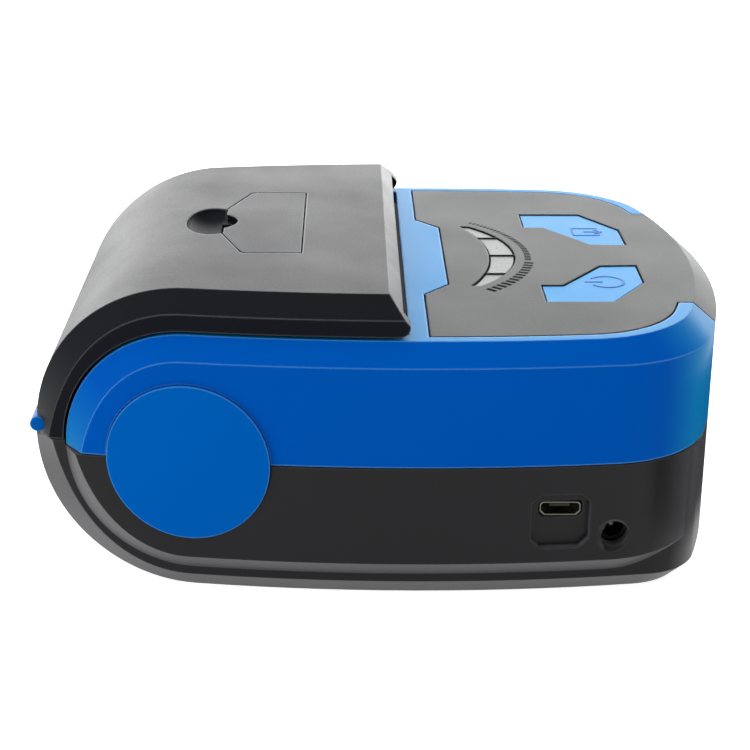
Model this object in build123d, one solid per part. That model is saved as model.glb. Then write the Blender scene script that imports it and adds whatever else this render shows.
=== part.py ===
from build123d import *
import math
import os

# Portable receipt printer with a drop-in paper bay under a rear-hinged cover.
# Everything is drawn about the middle of the blue side discs: x runs from there towards
# the keypad end, y across the printer, z up. place() then moves each piece so that
# the origin is on the ground, under the middle of the whole case.

# Case seen from above
case_width = 110.0
side_bow_radius = 311.0
widest_x = 44.7
mechanism_room = 13.8
keypad_length = 52.4
nose_bow_radius = 120.0
case_corner_radius = 22.2
body_corner_radius = 12.0
least_corner = 1.0

# Case seen from the side
roll_rise = 0.6
wrap_radius = 30.0
cheek_step = 6.55
body_inset = 3.9
case_wall = 2.0
seam_z = 0.0
seam_gap = 0.3
cover_seam_z = 0.9

# Cheeks, the two bulged sides
cheek_bevel_in = 3.76
cheek_bevel_drop = 3.9
cheek_turn_lead = 1.0
cheek_turn_rise = 121.5
cheek_end_lead = 1.3
bevel_share = 0.6
body_bevel_in = 4.1
body_nose_bevel_in = 3.3
body_bevel_rise = 4.2

# Deck and keypad panel
deck_nose_inset = 4.4
deck_corner_radius = 23.0
deck_wall = 3.2
nose_wall = 3.2
join_lead = 2.0
panel_wall = 1.2
panel_pocket = 1.3
panel_gap = 0.35
panel_lead = 3.8
panel_side_inset = 6.2
panel_nose_inset = 7.4
panel_corner_radius = 20.0
tab_depth = 4.95
tab_half_width = 19.4
tab_slant = 5.9
tongue_half_width = 29.7
tongue_root = 15.8

# Buttons: distance from the front of the mechanism and from the middle line
button_points = [
    (16.3, 19.9), (20.5, 19.85), (29.3, 7.5), (36.4, 7.2),
    (36.3, 17.7), (29.0, 29.1), (16.3, 29.1),
]
button_gap = 0.35
button_sink = 0.2
button_lip = 1.0
button_lip_wall = 0.8
button_lip_gap = 0.1
button_travel = 0.5
key_clear = 0.3

# Status windows, a crescent cut in four, measured from the front of the mechanism
window_front = 12.25
window_outer_radius = 28.0
window_rear = 7.4
window_inner_radius = 44.0
window_split_y = 12.0
window_half = 20.2
window_bar = 0.8
window_gap = 0.3
window_sink = 0.25
guide_wall = 0.8
guide_rear_lap = 6.0
guide_front_lap = 1.0
guide_half = 23.0
guide_stem_radius = 1.2

# Cover
cover_rim_gap = 0.55
cover_bevel_in = 5.1
cover_bevel_drop = 3.35
cover_wall = 2.0
lip_overhang = 0.15
lip_slope_run = 3.75
lip_bevel_drop = 4.5
lip_middle_step = 1.25
lip_side_inset = 7.6
skirt_toe_radius = 2.0

# Hinge at the rear seam
hinge_inset = 0.4
hinge_z = 1.8
barrel_radius = 1.5
hinge_pin_radius = 0.7
knuckle_side_inset = 16.8
knuckle_length = 5.2
knuckle_tab_low_z = -7.0
knuckle_web = 1.0
knuckle_cap = 1.0
pin_end_gap = 0.3
barrel_clear = 0.3
barrel_end_gap = 0.2
running_gap = 0.05
tight_gap = 0.02
fit_gap = 0.1

# Release flap on the cover
flap_front_x = 20.3
flap_rear_x = 4.4
flap_shoulder_x = 9.0
flap_shoulder_radius = 1.5
flap_half = 21.2
flap_tip_half = 8.6
flap_wall = 1.6
flap_skin = 0.6
flap_gap = 0.3
flap_swing_gap = 0.2
flap_pivot_drop = 1.7
flap_barrel_radius = 1.5
flap_pin_radius = 0.6
flap_pin_reach = 1.8
spring_notch = 3.5
spring_notch_lead = 0.5
latch_spring_end_gap = 0.6
latch_spring_gap = 0.3
latch_spring_wire = 0.12
latch_spring_turns = 8
scoop_x = 1.8
scoop_length = 5.4
scoop_half = 9.3
scoop_depth = 2.9
notch_length = 5.1
notch_half = 5.5
hole_start_x = 3.3
hole_depth = 4.0
pad_depth = 5.0
pad_margin = 2.6
pad_rear_margin = 2.0

# Paper bay
roll_side_room = 15.25
bin_play = 0.45
bin_wall = 1.2
bin_floor_gap = 1.2
bin_front_drop = 11.45
bin_end_gap = 0.45
bin_clear = 0.3
bin_seat_gap = 0.2
bay_front_room = 7.5
ledge_side_inset = 7.0
sensor_drop = 5.0
rib_y = 25.0
rib_half_length = 15.0
rib_wall = 1.5
rib_height = 7.4

# Side discs
disc_radius = 15.2
disc_proud = 0.8
disc_depth = 1.5
disc_gap = 0.1

# Print mechanism
platen_setback = 5.1
platen_drop = 5.95
platen_radius = 4.2
platen_shaft_radius = 2.0
platen_gap = 0.2
platen_end_gap = 0.6
frame_wall = 1.4
frame_side_gap = 0.5
frame_rear_room = 5.5
frame_front_room = 15.9
frame_height = 33.4
frame_top_drop = 4.05
bush_radius = 3.4
bush_length = 1.9
bush_sink = 0.2
bush_slot_gap = 0.3
ear_wall = 1.6
ear_gap = 0.6
ear_radius = 4.2
bracket_length = 5.4
bracket_height = 2.9
head_board_wall = 0.9
head_plate_wall = 2.6
head_side_room = 2.9
head_top_drop = 3.55
head_board_height = 11.9
head_foot_length = 5.2
head_foot_rise = 15.5
head_foot_height = 5.0
rod_radius = 1.5
head_spring_drop = 5.9
head_spring_y = 22.0
head_spring_radius = 2.2
head_spring_wire = 0.45
head_spring_turns = 5
head_spring_gap = 0.3
tear_wall = 0.9
tear_gap = 0.05
tear_seat = 0.3
tooth_pitch = 2.0
tooth_depth = 1.0
tooth_drop = 0.2

# Gear train at the far end of the platen
gear_module = 0.5
platen_teeth = 20
idler_teeth = 30
pinion_teeth = 12
gear_width = 2.8
gear_gap = 0.4
tooth_tip_share = 0.85
tooth_root_share = 1.2
tooth_tip_half = 0.12
tooth_root_half = 0.34
idler_bearing = -76.0
pinion_bearing = -104.5
axle_radius = 1.2
axle_collar = 1.0
collar_gap = 0.15
shaft_overhang = 0.3
platen_stub = 0.5
motor_radius = 7.5
motor_length = 16.0
motor_shaft_radius = 1.0
motor_shaft_root = 9.0
motor_boss_radius = 3.0

# Electronics; x as a distance from the front of the mechanism where not from the nose
board_wall = 1.2
board_gap = 1.25
board_rear_lap = 1.5
board_nose_inset = 5.8
board_side_inset = 3.8
board_front_gap = 2.4
board_boss_gap = 0.35
part_seat = 0.05
chip_spot = (23.6, 0.0)
chip_size = 10.0
chip_height = 1.25
radio_spot = (35.1, 17.0)
radio_length = 13.0
radio_width = 14.0
radio_height = 2.35
buzzer_spot = (12.6, 24.0)
buzzer_radius = 4.5
buzzer_height = 4.15
usb_lead = 17.5
usb_width = 7.6
usb_height = 2.7
usb_length = 5.6
usb_wall = 0.2
usb_gap = 0.35
usb_corner_cut = 0.8
usb_corner_radius = 0.7
usb_setback = 0.3
usb_tongue_width = 3.8
usb_tongue_wall = 0.6
usb_tongue_drop = 0.75
usb_tongue_setback = 1.0
usb_recess_drop = 2.0
usb_recess_size = 11.0
usb_recess_depth = 1.4
usb_recess_cut = 1.8
socket_wall = 3.3
socket_margin = 8.0
socket_depth = 5.4
dc_lead = 27.9
dc_drop = 2.75
dc_hole_radius = 2.65
dc_bore_step = 0.45
dc_flare = 0.9
dc_flare_lap = 0.2
dc_wall_gap = 0.2
dc_body_width = 8.0
dc_body_height = 5.5
dc_body_length = 10.0
dc_end_wall = 1.5
dc_pin_depth = 5.3
dc_pin_radius = 0.4
key_board_gap = 1.6
key_board_nose_inset = 9.8
key_board_half = 33.0
tact_size = 6.0
tact_height = 2.6
tact_case_drop = 1.6
tact_key_radius = 1.75
tact_key_height = 1.0
tact_gap = 0.1
led_height = 0.8
led_length = 2.0
led_width = 1.6
led_spots = [(6.9, 16.5), (9.6, 6.0)]
tact_spot = (27.1, 18.0)
ribbon_half_wall = 0.15
ribbon_lift = 0.4
head_ribbon_half = 12.0
key_ribbon_y = -20.0
key_ribbon_half = 6.0
switch_length = 7.0
switch_width = 4.0
switch_height = 6.0
switch_setback = 0.4
switch_drop = 5.4
sensor_length = 2.3
sensor_half = 4.0
sensor_half_height = 2.0
sensor_slot_half = 2.5
sensor_slot_half_height = 1.5

# Battery bay in the floor
pack_lead = 4.1
pack_nose_inset = 14.3
pack_side_room = 23.0
pack_height = 12.0
pack_gap = 0.3
pack_round = 1.5
bay_play = 0.6
bay_wall = 1.5
door_wall = 1.8
door_sink = 0.4
door_gap = 0.3
door_peg = 1.2
door_peg_radius = 0.6
door_grip_x = 3.0
door_grip_length = 3.0
door_grip_half = 9.0
door_grip_depth = 0.7
contact_ys = (-8.0, 0.0, 8.0)
contact_width = 3.0
contact_wall = 0.4
contact_rise = 5.4
contact_height = 7.0

# Fasteners: x from the named edge, y from the case's side or the middle line
case_screw_rear_x = 22.0
case_screw_nose_inset = 15.8
case_screw_insets = (11.0, 17.0)
mechanism_screw_steps = (3.0, 18.0)
mechanism_screw_y = 18.0
board_screw_steps = (3.5, 11.8)
board_screw_insets = (12.0, 25.0)
key_screw_step = 3.0
key_screw_ys = (30.0, 3.0)
screw_head_radius = 1.8
screw_head_height = 1.4
screw_radius = 1.0
screw_slot_half = 1.3
screw_slot_width = 0.5
screw_play = 0.1
head_play = 0.15
shank_play = 0.2
boss_radius = 2.8
slim_boss_radius = 2.2
boss_root = 0.5
seat_gap = 0.05
case_screw_seat_drop = 8.0
case_screw_length = 16.0
mechanism_screw_length = 7.0
board_screw_length = 5.5
key_screw_length = 4.5
tap_room = 1.0

far = 200.0
half_width = case_width / 2.0
cheek_radius = wrap_radius - cheek_step
cheek_front_turn_radius = cheek_radius + cheek_turn_rise
cheek_cut_x = -(cheek_radius + seam_gap)
cover_rim_radius = cheek_radius + cover_rim_gap
floor_z = roll_rise - wrap_radius
top_z = roll_rise + wrap_radius
floor_in_z = floor_z + case_wall
deck_z = cheek_radius
deck_under_z = deck_z - deck_wall

bin_outer = wrap_radius - case_wall - bin_floor_gap
bin_radius = bin_outer - bin_wall
bin_half = half_width - roll_side_room + bin_play
bin_end_radius = cheek_radius - case_wall - bin_end_gap
bin_front_z = deck_z - bin_front_drop
sensor_z = bin_front_z - sensor_drop

deck_rear_x = bin_outer + mechanism_room
join_x = deck_rear_x + join_lead
panel_rear_x = deck_rear_x + panel_lead
lip_front_x = deck_rear_x + lip_overhang
lip_top_x = lip_front_x - lip_slope_run
lip_middle_x = lip_front_x - lip_middle_step
lip_middle_half = half_width - lip_side_inset
ledge_half = half_width - ledge_side_inset

hinge_x = hinge_inset - wrap_radius
knuckle_half = half_width - knuckle_side_inset
barrel_half = knuckle_half - knuckle_length
rear_reach = abs(hinge_x) + barrel_radius

platen_x = deck_rear_x - platen_setback
platen_z = deck_z - platen_drop
bay_front_x = platen_x - bay_front_room
frame_rear_x = platen_x - frame_rear_room
frame_front_x = platen_x + frame_front_room
frame_top_z = deck_z - frame_top_drop
frame_floor_z = frame_top_z - frame_height
frame_half = bin_half + bin_wall + frame_side_gap
frame_inner = frame_half - frame_wall
platen_half = frame_inner - platen_end_gap
ear_y1 = frame_half + ear_gap + ear_wall
gear_y0 = ear_y1 + gear_gap
gear_y1 = gear_y0 + gear_width
shaft_end = gear_y1 + shaft_overhang

head_half = frame_half - head_side_room
head_top_z = deck_z - head_top_drop
head_board_low_z = head_top_z - head_board_height
head_spring_z = head_top_z - head_spring_drop
head_foot_low_z = frame_floor_z + head_foot_rise
head_foot_high_z = head_foot_low_z + head_foot_height
head_face_x = platen_x + platen_radius + platen_gap
head_plate_x = head_face_x + head_board_wall
head_back_x = head_plate_x + head_plate_wall
rod_x_pos = head_plate_x + head_foot_length / 2
rod_z_pos = (head_foot_low_z + head_foot_high_z) / 2

idler_reach = gear_module * (platen_teeth + idler_teeth) / 2
idler_x = platen_x + idler_reach * math.cos(math.radians(idler_bearing))
idler_z = platen_z + idler_reach * math.sin(math.radians(idler_bearing))
pinion_reach = gear_module * (idler_teeth + pinion_teeth) / 2
pinion_x = idler_x + pinion_reach * math.cos(math.radians(pinion_bearing))
pinion_z = idler_z + pinion_reach * math.sin(math.radians(pinion_bearing))

nose_x = frame_front_x + keypad_length
origin_x = (nose_x - rear_reach) / 2.0
tongue_start_x = nose_x - tongue_root
window_front_x = frame_front_x + window_front
window_rear_x = frame_front_x + window_rear
button_low_z = deck_under_z - key_clear - button_lip_wall
key_board_top_z = button_low_z - button_travel - tact_gap - tact_key_height - tact_height
key_board_rear_x = frame_front_x + key_board_gap
key_board_front_x = nose_x - key_board_nose_inset

flap_pivot_x = flap_front_x - flap_barrel_radius
flap_pivot_z = top_z - flap_pivot_drop

pack_rear_x = frame_front_x + pack_lead
pack_front_x = nose_x - pack_nose_inset
pack_half = half_width - pack_side_room
door_low_z = floor_z + door_sink
pack_low_z = door_low_z + door_wall + pack_gap
bay_roof_z = pack_low_z + pack_height + pack_gap
bay_x0 = pack_rear_x - bay_play
bay_x1 = pack_front_x + bay_play
bay_half = pack_half + bay_play
door_axis_x = bay_x0 + door_gap + door_wall / 2
door_axis_z = door_low_z + door_wall / 2

board_low_z = bay_roof_z + bay_wall + board_gap
board_top_z = board_low_z + board_wall
board_rear_x = pack_rear_x - board_rear_lap
board_front_x = nose_x - board_nose_inset
part_low_z = board_top_z + part_seat
usb_x = frame_front_x + usb_lead
usb_z = part_low_z + usb_height / 2
usb_recess_z = usb_z - usb_recess_drop
dc_x = frame_front_x + dc_lead
dc_z = board_low_z - dc_drop
socket_low_z = dc_z - socket_depth

case_screw_seat_z = seam_z - case_screw_seat_drop
case_screw_tip_z = case_screw_seat_z + case_screw_length
case_screw_xs = (case_screw_rear_x, nose_x - case_screw_nose_inset)
case_screw_spots = [(x, half_width - inset) for x, inset in zip(case_screw_xs, case_screw_insets)]
mechanism_screw_spots = [(frame_rear_x + step, mechanism_screw_y) for step in mechanism_screw_steps]
board_screw_xs = (board_rear_x + board_screw_steps[0], nose_x - board_screw_steps[1])
board_screw_spots = [(x, half_width - inset) for x, inset in zip(board_screw_xs, board_screw_insets)]
key_screw_xs = (key_board_rear_x + key_screw_step, key_board_front_x - key_screw_step)
key_screw_spots = list(zip(key_screw_xs, key_screw_ys))

ribbon_end_z = board_top_z + ribbon_lift
ribbon_start_x = head_face_x + head_board_wall / 2
key_board_low_z = key_board_top_z - board_wall
head_ribbon_route = [
    (ribbon_start_x, head_board_low_z - 0.5), (ribbon_start_x, head_foot_low_z - 1.3),
    (frame_front_x - 5.4, head_foot_low_z - 4.5), (board_rear_x - 1.0, board_top_z + 1.9),
    (board_rear_x + 3.0, ribbon_end_z), (board_rear_x + 6.0, ribbon_end_z),
]
key_ribbon_route = [
    (key_board_rear_x + 1.5, key_board_low_z - 0.55), (frame_front_x + 1.2, key_board_low_z - 1.55),
    (frame_front_x + 1.0, board_top_z + 3.4), (board_rear_x + 1.0, ribbon_end_z),
    (board_rear_x + 4.0, ribbon_end_z),
]


def span(x0, x1, y0, y1, z0, z1):
    """A box given by its lowest and highest corners."""
    middle = Pos((x0 + x1) / 2, (y0 + y1) / 2, (z0 + z1) / 2)
    return middle * Box(x1 - x0, y1 - y0, z1 - z0)


def rod_y(x, z, radius, y0, y1):
    """A round bar that lies across the printer."""
    return Pos(x, (y0 + y1) / 2, z) * Rot(90, 0, 0) * Cylinder(radius, y1 - y0)


def rod_z(x, y, radius, z0, z1):
    """An upright round bar."""
    return Pos(x, y, (z0 + z1) / 2) * Cylinder(radius, z1 - z0)


def across(face):
    """Extrudes a side-view face through the whole width."""
    return extrude(face, amount=far, both=True)


def side_y(x, inset):
    """Half width of the bowed side at x, at an inset from the cheek's face."""
    bow = side_bow_radius - inset
    return math.sqrt(bow**2 - (x - widest_x) ** 2) - (side_bow_radius - half_width)


def corner_centre(inset, nose_inset, corner):
    """Centre of the round corner between the bowed side and the bowed nose."""
    low = (widest_x, half_width - side_bow_radius)
    front = (nose_x - nose_bow_radius, 0.0)
    reach = side_bow_radius - inset - corner
    front_reach = nose_bow_radius - nose_inset - corner
    gap = math.dist(low, front)
    along = (reach**2 - front_reach**2 + gap**2) / (2 * gap)
    across_line = math.sqrt(reach**2 - along**2)
    unit_x, unit_y = (front[0] - low[0]) / gap, (front[1] - low[1]) / gap
    return low[0] + along * unit_x + across_line * unit_y, low[1] + along * unit_y - across_line * unit_x


def corner_start_x():
    """Where the case's side runs into its round corner."""
    centre_x, _ = corner_centre(0, 0, case_corner_radius)
    reach = side_bow_radius - case_corner_radius
    return widest_x + (centre_x - widest_x) * side_bow_radius / reach


def corner_end_x():
    """Where the case's round corner runs into the nose."""
    centre_x, _ = corner_centre(0, 0, case_corner_radius)
    middle_x = nose_x - nose_bow_radius
    reach = nose_bow_radius - case_corner_radius
    return middle_x + (centre_x - middle_x) * nose_bow_radius / reach


def edge_y(x, inset):
    """Half width of the case at x, its round corners included."""
    strip = plan(inset, 0, case_corner_radius) & Pos(x, 0) * Rectangle(0.02, far)
    return strip.bounding_box().max.Y


def plan(inset, nose_inset, corner, x0=-60.0, x1=150.0):
    """The case seen from above: two bowed sides and a bowed nose with round corners."""
    bow = side_bow_radius - inset
    shift = side_bow_radius - half_width
    sides = (Pos(widest_x, shift) * Circle(bow)) & (Pos(widest_x, -shift) * Circle(bow))
    nose = Pos(nose_x - nose_bow_radius, 0) * Circle(nose_bow_radius - nose_inset)
    face = sides & nose
    front = [v for v in face.vertices() if v.X > widest_x]
    face = fillet(front, corner)
    return face & Pos((x0 + x1) / 2, 0) * Rectangle(x1 - x0, far)


def column(face, z0, z1):
    """Extrudes a plan face from one height to another."""
    return extrude(Pos(0, 0, z0) * face, amount=z1 - z0)


def wrapped_side(radius, centre_z, upward):
    """Side view: a disc about the roll and a strip from it to the nose."""
    sign = 1 if upward else -1
    strip = Pos(far / 2, sign * radius / 2) * Rectangle(far, radius)
    half = Pos(0, sign * radius / 2) * Rectangle(2 * radius, radius)
    face = (Circle(radius) & half) + strip
    return Plane.XZ * Pos(0, centre_z) * face


def bevel_sides(block, inset, radius, centre_z, bevel_drop, bevel_in, x_end):
    """Bevels the long outer edge that runs round the rear and along the sides."""
    def on_edge(edge):
        middle = edge @ 0.5
        if middle.X > x_end or abs(abs(middle.Y) - side_y(middle.X, inset)) > 0.05:
            return False
        height = abs(middle.Z - centre_z)
        on_round = abs(math.hypot(middle.X, height) - radius) < 0.05
        return height > 1.5 and (abs(height - radius) < 0.05 or on_round)

    for sign in (-1, 1):
        side_face = max(block.faces(), key=lambda f: sign * f.position_at(0.5, 0.5).Y)
        edges = [e for e in block.edges() if on_edge(e) and (e @ 0.5).Y * sign > 0]
        block = chamfer(edges, length=bevel_drop, length2=bevel_in, reference=side_face)
    return block


def cheek_rear(skin):
    """Rear half of the upper cheeks, shrunk all round by a skin."""
    radius = cheek_radius - skin
    block = column(plan(skin, 0, case_corner_radius, x1=join_x), -1, radius + 1)
    block = block & across(wrapped_side(radius, 0, True))
    return bevel_sides(block, skin, radius, 0, cheek_bevel_drop, cheek_bevel_in, join_x)


def upper_front(skin, low_z=seam_z):
    """Front half of the upper case: plain below, bevelled up to the deck."""
    low = plan(skin, skin, case_corner_radius - skin, x0=join_x)
    deck_inset = cheek_bevel_in + skin * bevel_share
    nose_inset = deck_nose_inset + skin * bevel_share
    high = plan(deck_inset, nose_inset, deck_corner_radius - skin, x0=join_x)
    shoulder = cheek_radius - cheek_bevel_drop - skin * (1 - bevel_share)
    block = column(low, low_z, shoulder)
    slope = loft([Pos(0, 0, shoulder) * low, Pos(0, 0, cheek_radius - skin) * high], ruled=True)
    return block + slope


def cheek_low(skin):
    """The lower cheeks: round at the rear, turning up and running out at the nose."""
    radius = cheek_radius - skin
    turn_x = corner_start_x() - cheek_turn_lead
    end_x = corner_end_x() - cheek_end_lead
    turn = Pos(turn_x, cheek_turn_rise)
    strip = Pos(turn_x / 2, -radius / 2) * Rectangle(turn_x, radius)
    half = Pos(0, -far / 2) * Rectangle(far * 2, far)
    round_ends = Circle(radius) + turn * Circle(cheek_front_turn_radius - skin)
    profile = (round_ends & half) + strip
    block = column(plan(skin, skin, case_corner_radius - skin, x1=end_x), -radius - 1, seam_z)
    block = block & across(Plane.XZ * profile)
    return bevel_sides(block, skin, radius, 0, cheek_bevel_drop, cheek_bevel_in, end_x)


def body_low(skin):
    """The middle of the base: wrapped at the rear, bevelled along the floor."""
    inset = body_inset + skin
    radius = wrap_radius - skin
    low_z = roll_rise - radius
    rear = column(plan(inset, 0, body_corner_radius, x1=join_x), low_z - 1, roll_rise)
    rear = rear & across(wrapped_side(radius, roll_rise, False))
    rear = bevel_sides(rear, inset, radius, roll_rise, body_bevel_rise, body_bevel_in, join_x)
    corner = max(body_corner_radius - skin, least_corner)
    wide = plan(inset, skin, corner, x0=join_x)
    narrow = plan(inset + body_bevel_in, skin + body_nose_bevel_in, corner, x0=join_x)
    shoulder = low_z + body_bevel_rise
    front = column(wide, shoulder, roll_rise)
    slope = loft([Pos(0, 0, shoulder) * wide, Pos(0, 0, low_z) * narrow], ruled=True)
    return rear + front + slope


def cover_block(skin):
    """The cover's outer form, or its hollow where a skin is taken off."""
    inset = body_inset + skin
    radius = wrap_radius - skin
    front = lip_front_x if skin == 0 else lip_middle_x - skin
    block = column(plan(inset, 0, body_corner_radius, x1=front), 0, top_z + 1)
    block = block & across(wrapped_side(radius, roll_rise, True))
    drop = cover_bevel_drop
    return bevel_sides(block, inset, radius, roll_rise, drop, cover_bevel_in, front)


def panel_outline(grow):
    """Plan of the keypad panel, with the tongue that runs over the nose."""
    face = plan(panel_side_inset - grow, panel_nose_inset - grow, panel_corner_radius,
                x0=panel_rear_x - grow)
    tongue_width = 2 * (tongue_half_width + grow)
    tongue = Pos(tongue_start_x + far / 2, 0) * Rectangle(far, tongue_width)
    depth = tab_depth - grow
    half = tab_half_width - grow
    start = panel_rear_x - grow - 1
    tab = make_face(Polyline(
        (start, -half - tab_slant * (depth + 1) / depth), (start + 1 + depth + grow, -half),
        (start + 1 + depth + grow, half), (start, half + tab_slant * (depth + 1) / depth),
        close=True))
    return (face + tongue) - tab


def button_outline(grow):
    """Plan of the far button, grown or shrunk all round."""
    points = [(frame_front_x + lead, y) for lead, y in button_points]
    face = make_face(Polyline(*points, close=True))
    return face if grow == 0 else offset(face, amount=grow, kind=Kind.INTERSECTION)


def window_faces(grow):
    """The four parts of the status crescent."""
    outer_radius = window_outer_radius + grow
    inner_radius = window_inner_radius - grow
    outer = Pos(window_front_x - window_outer_radius, 0) * Circle(outer_radius)
    inner = Pos(window_rear_x - window_inner_radius, 0) * Circle(inner_radius)
    crescent = (outer - inner) & (Pos(far / 2, 0) * Rectangle(far, 2 * window_outer_radius))
    edges = [-window_half, -window_split_y, 0, window_split_y, window_half]
    parts = []
    for low, high in zip(edges, edges[1:]):
        trim = window_bar / 2 - grow
        height = high - low - 2 * trim
        strip = Pos(far / 2, (low + high) / 2) * Rectangle(far, height)
        parts.append(crescent & strip)
    return parts


def screw(x, y, head_low_z, length, upward=False):
    """A pan-head screw; its shank points down, or up where upward."""
    head = rod_z(x, y, screw_head_radius, head_low_z, head_low_z + screw_head_height)
    slot_y = screw_slot_width / 2
    slot_high_z = head_low_z + screw_slot_width
    slot = span(x - screw_slot_half, x + screw_slot_half, y - slot_y, y + slot_y, head_low_z, slot_high_z)
    if upward:
        shank_low = head_low_z + screw_head_height
        return head - slot + rod_z(x, y, screw_radius, shank_low, shank_low + length)
    slot = Pos(0, 0, screw_head_height - screw_slot_width) * slot
    return head - slot + rod_z(x, y, screw_radius, head_low_z - length, head_low_z)


def spots(pairs):
    """Both mirror images of each named spot."""
    return [(x, sign * y) for x, y in pairs for sign in (-1, 1)]


def from_front(pairs):
    """Spots that are given from the front of the mechanism."""
    return [(frame_front_x + lead, y) for lead, y in pairs]


def case_post(x, y, z0, z1):
    """A screw boss between the shells, cut flat where the paper bin passes it."""
    reach = bin_half + bin_wall + bin_clear
    return rod_z(x, y, boss_radius, z0, z1) - span(-far, bin_outer + bin_clear, -reach, reach, -far, far)


def join(pieces):
    """Fuses pieces in one go."""
    return pieces[0].fuse(*pieces[1:]) if len(pieces) > 1 else pieces[0]


# Case shells

def disc_band(outer_inset, inner_inset, radius, sign):
    """A round slice that follows the bowed side."""
    reach = 2 * radius
    band = column(plan(outer_inset, 0, case_corner_radius, x1=reach), -reach, reach)
    band = band - column(plan(inner_inset, 0, case_corner_radius, x1=reach), -far, far)
    low, high = sorted((0, far * sign))
    return band & rod_y(0, 0, radius, low, high)


def side_disc(sign):
    """The round cap on a cheek; it lies over the seam between the shells."""
    return disc_band(-disc_proud, disc_depth - disc_gap, disc_radius, sign)


def disc_pocket(sign):
    """The shallow seat for a side disc."""
    return disc_band(-1, disc_depth, disc_radius + disc_gap, sign)


def hinge_rod(radius, y0, y1):
    """A bar on the cover's hinge line."""
    return rod_y(hinge_x, hinge_z, radius, y0, y1)


def usb_recess():
    """The square recess with cut corners round the micro USB socket."""
    face = chamfer(Rectangle(usb_recess_size, usb_recess_size).vertices(), usb_recess_cut)
    prism = extrude(Plane.XZ * Pos(usb_x, usb_recess_z) * face, amount=far)
    return prism - column(plan(usb_recess_depth, 0, case_corner_radius), -far, far)


def usb_outline(shrink):
    """Front view of the micro USB shell, its lower corners cut."""
    face = Rectangle(usb_width - 2 * shrink, usb_height - 2 * shrink)
    low = [v for v in face.vertices() if v.Y < 0]
    high = [v for v in face.vertices() if v.Y > 0]
    face = chamfer(low, usb_corner_cut)
    return fillet([v for v in face.vertices() if v.Y > high[0].Y - 0.01], usb_corner_radius)


def usb_prism(shrink, y0, y1):
    """The USB outline pushed from one depth to another."""
    face = Plane.XZ * Pos(usb_x, usb_z) * usb_outline(shrink)
    return Pos(0, y1, 0) * extrude(face, amount=y1 - y0)


def base_shell():
    """The black lower tray with its bosses, battery bay and sockets."""
    shell = body_low(0) + cheek_low(0)
    hollow = body_low(case_wall) + cheek_low(case_wall)
    shell = shell - hollow
    shell = shell - span(cheek_cut_x, far, -far, far, seam_z - seam_gap / 2, far)
    shell = shell - span(-far, far, -far, far, cover_seam_z - seam_gap, far)
    sockets = column(plan(case_wall / 2, 0, case_corner_radius), socket_low_z, seam_z - seam_gap)
    sockets = sockets - column(plan(socket_wall, 0, case_corner_radius), -far, far)
    socket_x1 = dc_x + dc_body_width / 2 + case_wall
    shell = shell + (sockets & span(usb_x - socket_margin, socket_x1, -far, 0, socket_low_z, far))
    shell = shell + span(bay_x0 - bay_wall, bay_x1 + bay_wall, -bay_half - bay_wall,
                         bay_half + bay_wall, floor_z + case_wall / 2, bay_roof_z + bay_wall)
    post_low_z = floor_in_z - boss_root
    posts = []
    for x, y in spots(case_screw_spots):
        posts.append(case_post(x, y, post_low_z, seam_z - seam_gap))
    for x, y in spots(mechanism_screw_spots):
        posts.append(rod_z(x, y, boss_radius, post_low_z, frame_floor_z - seat_gap))
    for x, y in spots(board_screw_spots):
        posts.append(rod_z(x, y, boss_radius, post_low_z, board_low_z - seat_gap))
    skin_middle = body_low(case_wall / 2)
    for sign in (-1, 1):
        rib = span(-rib_half_length, rib_half_length, sign * rib_y - rib_wall / 2,
                   sign * rib_y + rib_wall / 2, post_low_z, floor_in_z + rib_height)
        rib = rib & skin_middle
        posts.append(rib - rod_y(0, roll_rise, bin_outer + bin_seat_gap, -far / 2, far / 2))
    shell = shell + join(posts)
    cuts = [span(bay_x0, bay_x1, -bay_half, bay_half, floor_z - 1, bay_roof_z)]
    for x, y in spots(case_screw_spots):
        cuts.append(rod_z(x, y, screw_head_radius + head_play, floor_z - 1, case_screw_seat_z))
        cuts.append(rod_z(x, y, screw_radius + shank_play, case_screw_seat_z - 1, 1))
    for x, y in spots(mechanism_screw_spots):
        tip_z = frame_floor_z + frame_wall - mechanism_screw_length - tap_room
        cuts.append(rod_z(x, y, screw_radius + running_gap, tip_z, frame_floor_z))
    for x, y in spots(board_screw_spots):
        tip_z = board_top_z - board_screw_length - tap_room
        cuts.append(rod_z(x, y, screw_radius + running_gap, tip_z, board_low_z))
    cuts += [disc_pocket(-1), disc_pocket(1), usb_recess()]
    cuts.append(hinge_rod(barrel_radius + barrel_clear, -far, far))
    cuts.append(usb_prism(-usb_gap, -far / 2, -side_y(usb_x, socket_wall) + 1))
    cuts.append(rod_y(dc_x, dc_z, dc_hole_radius, -far / 2, -side_y(dc_x, socket_wall) + 1))
    dc_mouth = Rot(90, 0, 0) * Cone(dc_hole_radius, dc_hole_radius + dc_flare, dc_flare)
    cuts.append(Pos(dc_x, -side_y(dc_x, 0) + dc_flare / 2 - dc_flare_lap, dc_z) * dc_mouth)
    peg_reach = bay_half + door_peg + door_gap
    for sign in (-1, 1):
        inner, outer = sorted((sign * (bay_half - 1), sign * peg_reach))
        cuts.append(rod_y(door_axis_x, door_axis_z, door_peg_radius + running_gap, inner, outer))
    for cut in cuts:
        shell = shell - cut
    return shell


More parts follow.
